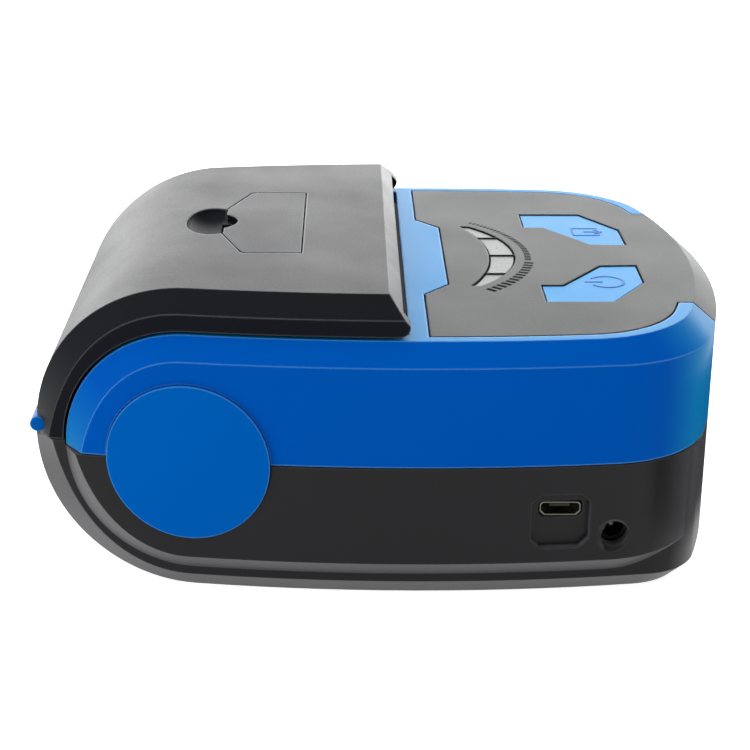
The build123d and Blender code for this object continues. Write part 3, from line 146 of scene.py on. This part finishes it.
def studio_floor():
    """A white ground that keeps the object's shadow and fades into the air."""
    mesh = bpy.data.meshes.new("floor")
    half = FLOOR_WIDTH / 2
    corners = [(-half, -half, 0), (half, -half, 0), (half, half, 0), (-half, half, 0)]
    mesh.from_pydata(corners, [], [(0, 1, 2, 3)])
    floor = bpy.data.objects.new("floor", mesh)
    scene.collection.objects.link(floor)
    material = bpy.data.materials.new("pale_floor")
    material.use_nodes = True
    tree = material.node_tree
    tree.nodes.clear()
    white = tree.nodes.new("ShaderNodeEmission")
    white.inputs["Color"].default_value = WHITE
    white.inputs["Strength"].default_value = FLOOR_GLOW
    matt = tree.nodes.new("ShaderNodeBsdfDiffuse")
    matt.inputs["Color"].default_value = FLOOR_PAINT
    both = tree.nodes.new("ShaderNodeAddShader")
    tree.links.new(white.outputs[0], both.inputs[0])
    tree.links.new(matt.outputs[0], both.inputs[1])
    out = tree.nodes.new("ShaderNodeOutputMaterial")
    tree.links.new(see_through_light(tree, both.outputs[0], matt.outputs[0]), out.inputs[0])
    mesh.materials.append(material)


studio_air()
studio_floor()
print("white ground and air")

# %% [markdown]
# ## Lamps
# The sheen on flat plastic is a picture of the lamps, so their places matter more than their power. A wide
# soft box stands behind the printer and gives its tops their pale sheen. A smaller one, low behind the nose,
# lights the panel where it folds down. Two weak ones, above and to the left, keep the sides from going flat.

# %% Lamps
LAMPS = {
    "back_softbox": ((-0.14, 0.78, 0.29), (1.25, 0.62), 12.0),
    "top_softbox": ((-0.1, -0.05, 0.9), (0.8, 0.8), 2.2),
    "left_softbox": ((-0.8, -0.5, 0.35), (0.5, 0.5), 2.2),
    "nose_softbox": ((0.45, 0.7, 0.16), (0.5, 0.3), 2.3),
}


def soft_lamp(name, place, aim, size, watts):
    """A rectangular soft box that points at the object and isn't seen itself."""
    data = bpy.data.lights.new(name, "AREA")
    data.shape = "RECTANGLE"
    data.size, data.size_y = size
    data.energy = watts
    lamp = bpy.data.objects.new(name, data)
    scene.collection.objects.link(lamp)
    lamp.location = place
    lamp.rotation_mode = "QUATERNION"
    lamp.rotation_quaternion = (Vector(aim) - Vector(place)).to_track_quat("-Z", "Y")
    lamp.visible_camera = False


for name, (place, size, watts) in LAMPS.items():
    soft_lamp(name, place, (cad_low + cad_high) / 2, size, watts)
print("lamps:", list(LAMPS))

# %% [markdown]
# ## A flag beside the nose
# The nose turns away from the camera, and at that flat angle it would mirror the white floor. A studio keeps
# such a reflection out with a black card, called a flag. This one is seen in reflections alone, so it throws
# no shadow, takes no light away and stays out of the picture.

# %% Flag
FLAG_PLACE = (0.073, -0.06, 0.001)
FLAG_LENGTH = 0.25
FLAG_HEIGHT = 0.036
FLAG_BLACK = (0.01, 0.01, 0.01, 1)


def black_flag():
    """An upright black card that only reflections see."""
    mesh = bpy.data.meshes.new("black_flag")
    x, near, low = FLAG_PLACE
    far = near + FLAG_LENGTH
    high = low + FLAG_HEIGHT
    mesh.from_pydata([(x, near, low), (x, far, low), (x, far, high), (x, near, high)], [], [(0, 1, 2, 3)])
    card = bpy.data.objects.new("black_flag", mesh)
    scene.collection.objects.link(card)
    material = bpy.data.materials.new("black_velvet")
    material.use_nodes = True
    shader = material.node_tree.nodes["Principled BSDF"]
    shader.inputs["Base Color"].default_value = FLAG_BLACK
    shader.inputs["Specular IOR Level"].default_value = 0.0
    mesh.materials.append(material)
    card.visible_camera = card.visible_shadow = card.visible_diffuse = False


black_flag()
print("flag", FLAG_LENGTH / MM, "by", FLAG_HEIGHT / MM, "mm")

# %% [markdown]
# ## Skin of moulded plastic
# All of the outer pieces are injection mouldings. Up close their skin has a fine spark-eroded grain, and no
# edge is perfectly sharp. The grain could be an image, but a noise texture made in the shader stays sharp at
# any distance. One node group makes it all, with its own values in each material. The grain drives roughness
# and a very shallow relief, and the Bevel node rounds the normals at the edges, where the light then runs
# along a soft line. Where the rounded normal differs from the flat one, there is an edge, and a third output
# hands that out as a mask.

# %% Skin group
NOISE_LOW = 0.3
NOISE_HIGH = 0.7
CLOUDS_PER_METRE = 60.0
RELIEF = 0.0001
EDGE_SAMPLES = 4
EDGE_BEGINS = 0.985
EDGE_FULL = 0.8


def new_group(name, inputs, outputs):
    """An empty shader node group with named sockets, and its two end nodes."""
    group = bpy.data.node_groups.new(name, "ShaderNodeTree")
    for label, kind, value in inputs:
        socket = group.interface.new_socket(name=label, in_out="INPUT", socket_type=kind)
        if value is not None:
            socket.default_value = value
    for label, kind in outputs:
        group.interface.new_socket(name=label, in_out="OUTPUT", socket_type=kind)
    return group, group.nodes.new("NodeGroupInput"), group.nodes.new("NodeGroupOutput")


def moulded_skin_group():
    """Fine moulding grain: a roughness that varies, a normal with soft edges and a mask of the edges."""
    group, given, out = new_group(
        "moulded_skin",
        [("Grains per Metre", "NodeSocketFloat", 2500.0), ("Depth", "NodeSocketFloat", 0.02),
         ("Roughness Low", "NodeSocketFloat", 0.3), ("Roughness High", "NodeSocketFloat", 0.4),
         ("Edge Radius", "NodeSocketFloat", 0.0003)],
        [("Roughness", "NodeSocketFloat"), ("Normal", "NodeSocketVector"), ("Edge", "NodeSocketFloat")])
    link = group.links.new
    place = group.nodes.new("ShaderNodeTexCoord")
    grain = group.nodes.new("ShaderNodeTexNoise")
    grain.inputs["Detail"].default_value = 2.0
    link(place.outputs["Object"], grain.inputs["Vector"])
    link(given.outputs["Grains per Metre"], grain.inputs["Scale"])
    broad = group.nodes.new("ShaderNodeTexNoise")
    broad.inputs["Scale"].default_value = CLOUDS_PER_METRE
    link(place.outputs["Object"], broad.inputs["Vector"])
    both = group.nodes.new("ShaderNodeMix")
    both.inputs[0].default_value = 0.5
    link(grain.outputs["Fac"], both.inputs[2])
    link(broad.outputs["Fac"], both.inputs[3])
    spread = group.nodes.new("ShaderNodeMapRange")
    spread.inputs["From Min"].default_value = NOISE_LOW
    spread.inputs["From Max"].default_value = NOISE_HIGH
    link(both.outputs[0], spread.inputs["Value"])
    link(given.outputs["Roughness Low"], spread.inputs["To Min"])
    link(given.outputs["Roughness High"], spread.inputs["To Max"])
    link(spread.outputs[0], out.inputs["Roughness"])
    edge = group.nodes.new("ShaderNodeBevel")
    edge.samples = EDGE_SAMPLES
    link(given.outputs["Edge Radius"], edge.inputs["Radius"])
    bump = group.nodes.new("ShaderNodeBump")
    bump.inputs["Distance"].default_value = RELIEF
    link(given.outputs["Depth"], bump.inputs["Strength"])
    link(grain.outputs["Fac"], bump.inputs["Height"])
    link(edge.outputs[0], bump.inputs["Normal"])
    link(bump.outputs[0], out.inputs["Normal"])
    flat = group.nodes.new("ShaderNodeNewGeometry")
    turn = group.nodes.new("ShaderNodeVectorMath")
    turn.operation = "DOT_PRODUCT"
    link(edge.outputs[0], turn.inputs[0])
    link(flat.outputs["True Normal"], turn.inputs[1])
    rim = group.nodes.new("ShaderNodeMapRange")
    rim.inputs["From Min"].default_value = EDGE_BEGINS
    rim.inputs["From Max"].default_value = EDGE_FULL
    link(turn.outputs["Value"], rim.inputs["Value"])
    link(rim.outputs[0], out.inputs["Edge"])
    return group


MOULDED_SKIN = moulded_skin_group()
print("group:", MOULDED_SKIN.name)

# %% [markdown]
# ## Drift of the pigment
# Real plastic is never one flat colour: the pigment is a little denser here and there, and hands polish it.
# A second group lightens and darkens a colour by a few hundredths, in soft clouds a centimetre or two wide.
# The metals use it too.

# %% Tint group
def tint_group():
    """Breaks up a flat colour a little, as pigment and handling do."""
    group, given, out = new_group(
        "tint_drift",
        [("Colour", "NodeSocketColor", None), ("Drift", "NodeSocketFloat", 0.06),
         ("Clouds per Metre", "NodeSocketFloat", 45.0)],
        [("Colour", "NodeSocketColor")])
    link = group.links.new
    place = group.nodes.new("ShaderNodeTexCoord")
    cloud = group.nodes.new("ShaderNodeTexNoise")
    cloud.inputs["Detail"].default_value = 3.0
    link(place.outputs["Object"], cloud.inputs["Vector"])
    link(given.outputs["Clouds per Metre"], cloud.inputs["Scale"])
    shift = group.nodes.new("ShaderNodeMath")
    shift.operation = "SUBTRACT"
    shift.inputs[1].default_value = 0.5
    link(cloud.outputs["Fac"], shift.inputs[0])
    gain = group.nodes.new("ShaderNodeMath")
    gain.operation = "MULTIPLY_ADD"
    gain.inputs[2].default_value = 1.0
    link(shift.outputs[0], gain.inputs[0])
    link(given.outputs["Drift"], gain.inputs[1])
    tone = group.nodes.new("ShaderNodeHueSaturation")
    link(given.outputs["Colour"], tone.inputs["Color"])
    link(gain.outputs[0], tone.inputs["Value"])
    link(tone.outputs[0], out.inputs["Colour"])
    return group


TINT_DRIFT = tint_group()
print("group:", TINT_DRIFT.name)

# %% [markdown]
# ## Plastic recipe
# Every plastic is the Principled shader with the two groups in front of it. Two kinds of painted light can be
# added to the pigment: a painted sheen, a paler tone at a flat angle where the surface would mirror the
# bright surround, and a painted highlight, a paler tone along the edges where they would catch the lamps. The
# edge mask comes from the skin group, and the Layer Weight node that finds flat angles stays in the material
# itself.

# %% Plastic recipe
FLAT_BEGINS = 0.3
FLAT_FULL = 0.62


def group_node(tree, group, values):
    """Places a shared group in a material with that material's own values."""
    node = tree.nodes.new("ShaderNodeGroup")
    node.node_tree = group
    for label, value in values.items():
        node.inputs[label].default_value = value
    return node


def blend(tree, share, first, second):
    """Mixes a colour output towards a plain colour by an output's value."""
    mix = tree.nodes.new("ShaderNodeMix")
    mix.data_type = "RGBA"
    tree.links.new(share, mix.inputs[0])
    tree.links.new(first, mix.inputs[6])
    mix.inputs[7].default_value = (*second, 1.0)
    return mix.outputs[2]


def flat_angle(tree):
    """An output that rises from 0 to 1 as the surface turns away from the eye."""
    weight = tree.nodes.new("ShaderNodeLayerWeight")
    flat = tree.nodes.new("ShaderNodeMapRange")
    flat.inputs["From Min"].default_value = FLAT_BEGINS
    flat.inputs["From Max"].default_value = FLAT_FULL
    tree.links.new(weight.outputs["Facing"], flat.inputs["Value"])
    return flat.outputs[0]


def moulded(name, colour, rough, depth=0.15, grain=2500.0, edge=0.0005, drift=0.08, specular=0.4,
            painted_sheen=None, painted_edge_highlight=None, **extra):
    """A moulded material: pigment that drifts a little, grained skin and soft edges.

    `painted_sheen` is a painted sheen, the paler tone at a flat angle, and `painted_edge_highlight` a painted
    highlight along the edges."""
    material = bpy.data.materials.new(name)
    material.use_nodes = True
    tree = material.node_tree
    shader = tree.nodes["Principled BSDF"]
    tint = group_node(tree, TINT_DRIFT, {"Colour": (*colour, 1.0), "Drift": drift})
    skin = group_node(tree, MOULDED_SKIN, {
        "Grains per Metre": grain, "Depth": depth, "Roughness Low": rough[0], "Roughness High": rough[1],
        "Edge Radius": edge})
    shown = tint.outputs["Colour"]
    if painted_sheen:
        shown = blend(tree, flat_angle(tree), shown, painted_sheen)
    if painted_edge_highlight:
        shown = blend(tree, skin.outputs["Edge"], shown, painted_edge_highlight)
    tree.links.new(shown, shader.inputs["Base Color"])
    tree.links.new(skin.outputs["Roughness"], shader.inputs["Roughness"])
    tree.links.new(skin.outputs["Normal"], shader.inputs["Normal"])
    shader.inputs["Specular IOR Level"].default_value = specular
    for label, value in extra.items():
        shader.inputs[label.replace("_", " ")].default_value = value
    return material


def srgb(red, green, blue):
    """Turns 0-255 screen values into the linear values that shaders use."""
    def linear(value):
        share = value / 255.0
        return share / 12.92 if share <= 0.04045 else ((share + 0.055) / 1.055) ** 2.4
    return tuple(linear(value) for value in (red, green, blue))


def dress(material, *names):
    """Gives CAD nodes their material."""
    for name in names:
        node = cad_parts[name]
        node.data.materials.clear()
        node.data.materials.append(material)


print("plastic recipe ready")

# %% [markdown]
# ## Tray, cover and key panel
# The dark pieces look alike, but they differ in pigment and in how tight their shine is. The tray is satin
# black, and its rolled bottom edge is given a painted sheen, a paler grey at a flat angle, for the pale floor
# it would mirror. The cover and the key panel take their pale look from the soft box behind them alone, so
# their shine is kept low and their pigment dark. Tray and cover also carry a painted highlight along their
# edges.

# %% Dark plastics
# Painted light: the tray's paler grey at a flat angle is a painted sheen, and the pale edges of tray and
# cover are painted highlights.
black_tray = moulded("black_tray", srgb(15, 14, 17), (0.36, 0.48), depth=0.25, specular=0.18,
                     painted_sheen=srgb(84, 84, 86), painted_edge_highlight=srgb(60, 60, 62))
cover_grey = moulded("cover_grey", srgb(16, 18, 24), (0.34, 0.46), depth=0.25, specular=0.045,
                     painted_edge_highlight=srgb(112, 114, 118))
panel_grey = moulded("panel_grey", srgb(40, 42, 43), (0.36, 0.46), depth=0.2, specular=0.045)
dress(black_tray, "base_shell", "battery_door")
dress(cover_grey, "top_cover", "latch_lever")
dress(panel_grey, "keypad_panel")
print("tray, cover and panel dressed")

# %% [markdown]
# ## Blue frame, caps and keys
# The frame and its round caps are a saturated blue that holds no red at all. A white sheen would add red and
# turn them grey, so the shine is tinted as well. The caps are set a little lighter than the frame, which is
# painted light for the brighter rear end where they sit. The keys are a lighter blue with a shallower grain.
# Frame and keys get a painted sheen, a paler blue at a flat angle, and all the blue pieces a painted
# highlight along their edges.

# %% Blue plastics
BLUE_SHINE = (0.0, 0.7, 1.0, 1.0)
# Painted light: the paler blue at a flat angle is a painted sheen, the pale edges are painted highlights, and
# the caps' lighter blue paints in the brighter light at the rear end.
frame_blue = moulded("frame_blue", srgb(0, 86, 184), (0.3, 0.4), depth=0.18, drift=0.05, specular=0.03,
                     painted_sheen=srgb(0, 128, 192), painted_edge_highlight=srgb(120, 186, 248), Specular_Tint=BLUE_SHINE)
disc_blue = moulded("disc_blue", srgb(0, 96, 188), (0.3, 0.4), depth=0.18, drift=0.03, specular=0.03,
                    painted_edge_highlight=srgb(96, 172, 240), Specular_Tint=BLUE_SHINE)
key_blue = moulded("key_blue", srgb(0, 112, 188), (0.3, 0.4), depth=0.12, drift=0.05, specular=0.035,
                   painted_sheen=srgb(0, 134, 200), painted_edge_highlight=srgb(110, 190, 240), Specular_Tint=BLUE_SHINE)
dress(frame_blue, "upper_shell")
dress(disc_blue, "side_disc_left", "side_disc_right", "hinge_knuckle_left", "hinge_knuckle_right")
dress(key_blue, "power_button", "feed_button")
print("blue pieces dressed")

# %% [markdown]
# ## Windows over the lights
# The four windows are one frosted piece that carries light up from the board. Clear plastic would show the
# dark inside, so a little subsurface scattering gives it the milky look instead.

# %% Frosted windows
window_frost = moulded("window_frost", srgb(112, 114, 113), (0.25, 0.35), depth=0.1, drift=0.04,
                       specular=0.05, Subsurface_Weight=0.15, Subsurface_Scale=0.001)
dress(window_frost, "status_light_guide")
print("windows dressed")

# %% [markdown]
# ## Inner metals
# Opening the cover shows the print mechanism, and the sockets show metal and contacts. Rolled steel has fine
# lines along one direction, so its material draws a noise texture out along that direction, and uses it for
# both the roughness and a very shallow relief.

# %% Metals
METAL_RELIEF = 0.00005


def metal(name, colour, rough, stretch=(1.0, 40.0, 40.0)):
    """Rolled or turned metal: the grain is drawn out along one direction."""
    material = bpy.data.materials.new(name)
    material.use_nodes = True
    tree = material.node_tree
    shader = tree.nodes["Principled BSDF"]
    shader.inputs["Metallic"].default_value = 1.0
    tint = group_node(tree, TINT_DRIFT, {"Colour": (*colour, 1.0), "Drift": 0.12, "Clouds per Metre": 120.0})
    tree.links.new(tint.outputs["Colour"], shader.inputs["Base Color"])
    place = tree.nodes.new("ShaderNodeTexCoord")
    mapping = tree.nodes.new("ShaderNodeMapping")
    mapping.inputs["Scale"].default_value = stretch
    lines = tree.nodes.new("ShaderNodeTexNoise")
    lines.inputs["Scale"].default_value = 700.0
    spread = tree.nodes.new("ShaderNodeMapRange")
    spread.inputs["To Min"].default_value = rough[0]
    spread.inputs["To Max"].default_value = rough[1]
    tree.links.new(place.outputs["Object"], mapping.inputs["Vector"])
    tree.links.new(mapping.outputs[0], lines.inputs["Vector"])
    tree.links.new(lines.outputs["Fac"], spread.inputs["Value"])
    tree.links.new(spread.outputs[0], shader.inputs["Roughness"])
    bump = tree.nodes.new("ShaderNodeBump")
    bump.inputs["Distance"].default_value = METAL_RELIEF
    bump.inputs["Strength"].default_value = 0.2
    tree.links.new(lines.outputs["Fac"], bump.inputs["Height"])
    tree.links.new(bump.outputs[0], shader.inputs["Normal"])
    return material


bright_steel = metal("bright_steel", srgb(200, 200, 202), (0.22, 0.4))
plug_steel = metal("plug_steel", srgb(96, 94, 84), (0.3, 0.45))
dark_steel = metal("dark_steel", srgb(60, 60, 64), (0.35, 0.5))
head_alloy = metal("head_alloy", srgb(210, 211, 214), (0.3, 0.5), stretch=(40.0, 1.0, 40.0))
contact_gold = metal("contact_gold", srgb(214, 178, 94), (0.2, 0.35))
dress(bright_steel, "hinge_pin", "latch_pin", "latch_spring", "platen_shaft", "mechanism_frame",
      "head_pivot_rod", "head_spring_left", "head_spring_right", "idler_axle", "motor_shaft", "case_screws",
      "mechanism_screws", "board_screws", "key_screws", "radio_module", "stepper_motor")
dress(plug_steel, "usb_shell", "dc_pin")
dress(dark_steel, "tear_bar", "platen_bracket")
dress(head_alloy, "head_heatsink")
dress(contact_gold, "battery_contacts")
print("metals dressed")

# %% [markdown]
# ## Rubber, gears and electronics
# The rest of the inside is plastic, rubber, glaze and circuit board. They need no material of their own kind,
# because the moulded recipe covers them with other values: rubber is rough and dull, the glaze of the print
# head is smooth, and the board drifts more in colour than a moulding does.

# %% Inner plastics
roller_rubber = moulded("roller_rubber", srgb(34, 34, 36), (0.7, 0.85), depth=0.3, grain=4000.0,
                        specular=0.25)
gear_white = moulded("gear_white", srgb(222, 220, 210), (0.35, 0.5), depth=0.1, drift=0.05)
inner_black = moulded("inner_black", srgb(30, 30, 32), (0.5, 0.65), depth=0.3, specular=0.3)
socket_black = moulded("socket_black", srgb(16, 16, 17), (0.4, 0.55), depth=0.1, edge=0.0001, specular=0.3)
board_green = moulded("board_green", srgb(18, 84, 48), (0.25, 0.4), depth=0.1, drift=0.25, grain=900.0)
chip_black = moulded("chip_black", srgb(28, 28, 30), (0.45, 0.55), depth=0.1, edge=0.0001)
head_glaze = moulded("head_glaze", srgb(214, 208, 196), (0.15, 0.25), depth=0.05, edge=0.0001)
ribbon_film = moulded("ribbon_film", srgb(206, 190, 150), (0.3, 0.4), depth=0.05, edge=0.0)
pack_wrap = moulded("pack_wrap", srgb(84, 86, 92), (0.3, 0.45), depth=0.1)
lamp_clear = moulded("lamp_clear", srgb(226, 224, 200), (0.15, 0.25), depth=0.05, edge=0.0001)
dress(roller_rubber, "platen_rubber")
dress(gear_white, "platen_gear", "idler_gear", "motor_pinion", "platen_bush_left", "platen_bush_right")
dress(inner_black, "paper_bin", "cover_switch", "paper_sensor", "buzzer")
dress(socket_black, "dc_jack", "usb_tongue")
dress(board_green, "main_board", "key_board")
dress(chip_black, "control_chip", "tact_switches")
dress(head_glaze, "thermal_head")
dress(ribbon_film, "head_ribbon", "key_ribbon")
dress(pack_wrap, "battery_pack")
dress(lamp_clear, "status_lights")
print("inner plastics dressed")

# %% [markdown]
# ## Tools for the marks
# A row of dark ticks is printed on the deck, and the two keys carry a shallow raised sign. Flat strips like
# these could be painted in the shader, but as meshes they keep crisp edges at any distance. Each is a thin
# plate over an outline seen from above, and one plate function serves them all.

# %% Mark tools
def mesh_object(name, bm, material, body):
    """Turns a bmesh into a piece that rides on a body."""
    mesh = bpy.data.meshes.new(name)
    bmesh.ops.recalc_face_normals(bm, faces=bm.faces)
    bm.to_mesh(mesh)
    bm.free()
    mesh.materials.append(material)
    piece = bpy.data.objects.new(name, mesh)
    scene.collection.objects.link(piece)
    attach(piece, body)


def add_plate(bm, outline, low, high):
    """A flat plate from a plan outline in millimetres, between two heights."""
    lower = [bm.verts.new((x * MM, y * MM, low * MM)) for x, y in outline]
    upper = [bm.verts.new((x * MM, y * MM, high * MM)) for x, y in outline]
    bm.faces.new(upper)
    bm.faces.new(lower[::-1])
    count = len(outline)
    for index in range(count):
        following = (index + 1) % count
        bm.faces.new((lower[index], lower[following], upper[following], upper[index]))


def bar(centre, angle, length, width):
    """Plan outline of a bar turned by an angle."""
    along = (math.cos(angle), math.sin(angle))
    cross = (-along[1], along[0])
    corners = []
    for a, c in ((-1, -1), (1, -1), (1, 1), (-1, 1)):
        corners.append((centre[0] + a * along[0] * length / 2 + c * cross[0] * width / 2,
                        centre[1] + a * along[1] * length / 2 + c * cross[1] * width / 2))
    return corners


def arc_points(centre, radius, angles):
    """Points on a circle at the given angles."""
    return [(centre[0] + radius * math.cos(angle), centre[1] + radius * math.sin(angle)) for angle in angles]


def arc_band(centre, radius, width, start, end, steps):
    """Plan outline of a band that follows an arc."""
    angles = [start + (end - start) * step / steps for step in range(steps + 1)]
    outer = arc_points(centre, radius + width / 2, angles)
    inner = arc_points(centre, radius - width / 2, angles)
    return outer + inner[::-1]


print("mark tools ready")

# %% [markdown]
# ## Ticks beside the windows
# The ticks follow the outer curve of the windows, as on a gauge: fine and close along most of the arc, and
# broad near its end. Their middle is measured from the windows' edge, so they stay in line with them. Ink
# has almost no thickness, so each tick reaches two hundredths of a millimetre into the deck and out of it.

# %% Tick arc
ARC_INSET = 29.0
ARC_RADIUS = 30.2
INK = 0.02
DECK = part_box("keypad_panel")[1].z / MM
ARC_CENTRE = (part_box("status_light_guide")[1].x / MM - ARC_INSET, 0.0)
printed_dark = moulded("printed_dark", srgb(20, 20, 22), (0.8, 0.9), depth=0.05, edge=0.0, specular=0.03)


def tick_row(bm, start, end, count, length, width):
    """Ticks from one angle to another. Length and width are each given for the first and the last tick."""
    for index in range(count):
        share = index / (count - 1)
        angle = math.radians(start + (end - start) * share)
        long = length[0] + (length[1] - length[0]) * share
        wide = width[0] + (width[1] - width[0]) * share
        reach = ARC_RADIUS + long / 2
        spot = (ARC_CENTRE[0] + reach * math.cos(angle), ARC_CENTRE[1] + reach * math.sin(angle))
        add_plate(bm, bar(spot, angle, long, wide), DECK - INK, DECK + INK)


ticks = bmesh.new()
tick_row(ticks, 48.0, -6.0, 28, (0.9, 1.3), (0.45, 0.55))
tick_row(ticks, -10.0, -46.0, 13, (1.9, 2.3), (0.8, 0.95))
mesh_object("deck_ticks", ticks, printed_dark, "case")
print("tick arc at deck height", round(DECK, 2), "mm")

# %% [markdown]
# ## Sign on the power key
# The power sign is the common open ring with a stroke through its gap. It stands just proud of the key and
# rides on the key's body, so it goes down with it when the key is pressed.

# %% Power sign
SIGN_SHIFT = 2.9
SIGN_ROOT = 0.05
SIGN_PROUD = 0.08
RING_LIFT = 1.2
RING_RADIUS = 3.4
RING_START = math.radians(215)
RING_END = math.radians(505)
RING_STEPS = 40
POWER_LINE = 0.5
STROKE_LENGTH = 3.6
STROKE_SHIFT = 2.6
sign_blue = moulded("sign_blue", srgb(0, 96, 182), (0.4, 0.5), depth=0.05, edge=0.0, drift=0.03,
                    specular=0.06)


def key_middle(node):
    """Middle of the broad end of a key, and the height of its top."""
    low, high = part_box(node)
    return (low.x + high.x) / 2 / MM + SIGN_SHIFT, (low.y + high.y) / 2 / MM, high.z / MM


x, y, top = key_middle("power_button")
ring_centre = (x, y + RING_LIFT)
stroke_centre = (x - STROKE_SHIFT, y + RING_LIFT)
power_sign = bmesh.new()
add_plate(power_sign, arc_band(ring_centre, RING_RADIUS, POWER_LINE, RING_START, RING_END, RING_STEPS),
          top - SIGN_ROOT, top + SIGN_PROUD)
add_plate(power_sign, bar(stroke_centre, 0.0, STROKE_LENGTH, POWER_LINE), top - SIGN_ROOT, top + SIGN_PROUD)
mesh_object("power_sign", power_sign, sign_blue, "power_key")
print("power sign at", round(x, 1), round(y, 1), "mm")

# %% [markdown]
# ## Sign on the feed key
# Paper feed is shown as a slot that is open on one side, with an arrow that leaves it. Four bars make the
# slot and the arrow's shaft, and two short ones its head.

# %% Feed sign
FEED_LINE = 0.45
FEED_AXIS = -1.2
FEED_BARS = (
    (0.0, (0.0, -3.7), 5.6),
    (0.0, (0.0, 1.3), 5.6),
    (math.pi / 2, (-2.8, FEED_AXIS), 5.0),
    (0.0, (1.4, FEED_AXIS), 3.6),
)
BARB_SHIFT = 2.7
BARB_SPREAD = 0.75
BARB_TURN = math.radians(-38)
BARB_LENGTH = 2.0

x, y, top = key_middle("feed_button")
feed_sign = bmesh.new()
for turn, (right_by, back_by), length in FEED_BARS:
    add_plate(feed_sign, bar((x + right_by, y + back_by), turn, length, FEED_LINE),
              top - SIGN_ROOT, top + SIGN_PROUD)
for side in (-1, 1):
    spot = (x + BARB_SHIFT, y + FEED_AXIS + side * BARB_SPREAD)
    add_plate(feed_sign, bar(spot, side * BARB_TURN, BARB_LENGTH, FEED_LINE),
              top - SIGN_ROOT, top + SIGN_PROUD)
mesh_object("feed_sign", feed_sign, sign_blue, "feed_key")
print("feed sign at", round(x, 1), round(y, 1), "mm")

# %% [markdown]
# ## Colours
# The Standard view shows a colour about as it is written, without a film look on top.

# %% Colour management
scene.view_settings.view_transform = "Standard"
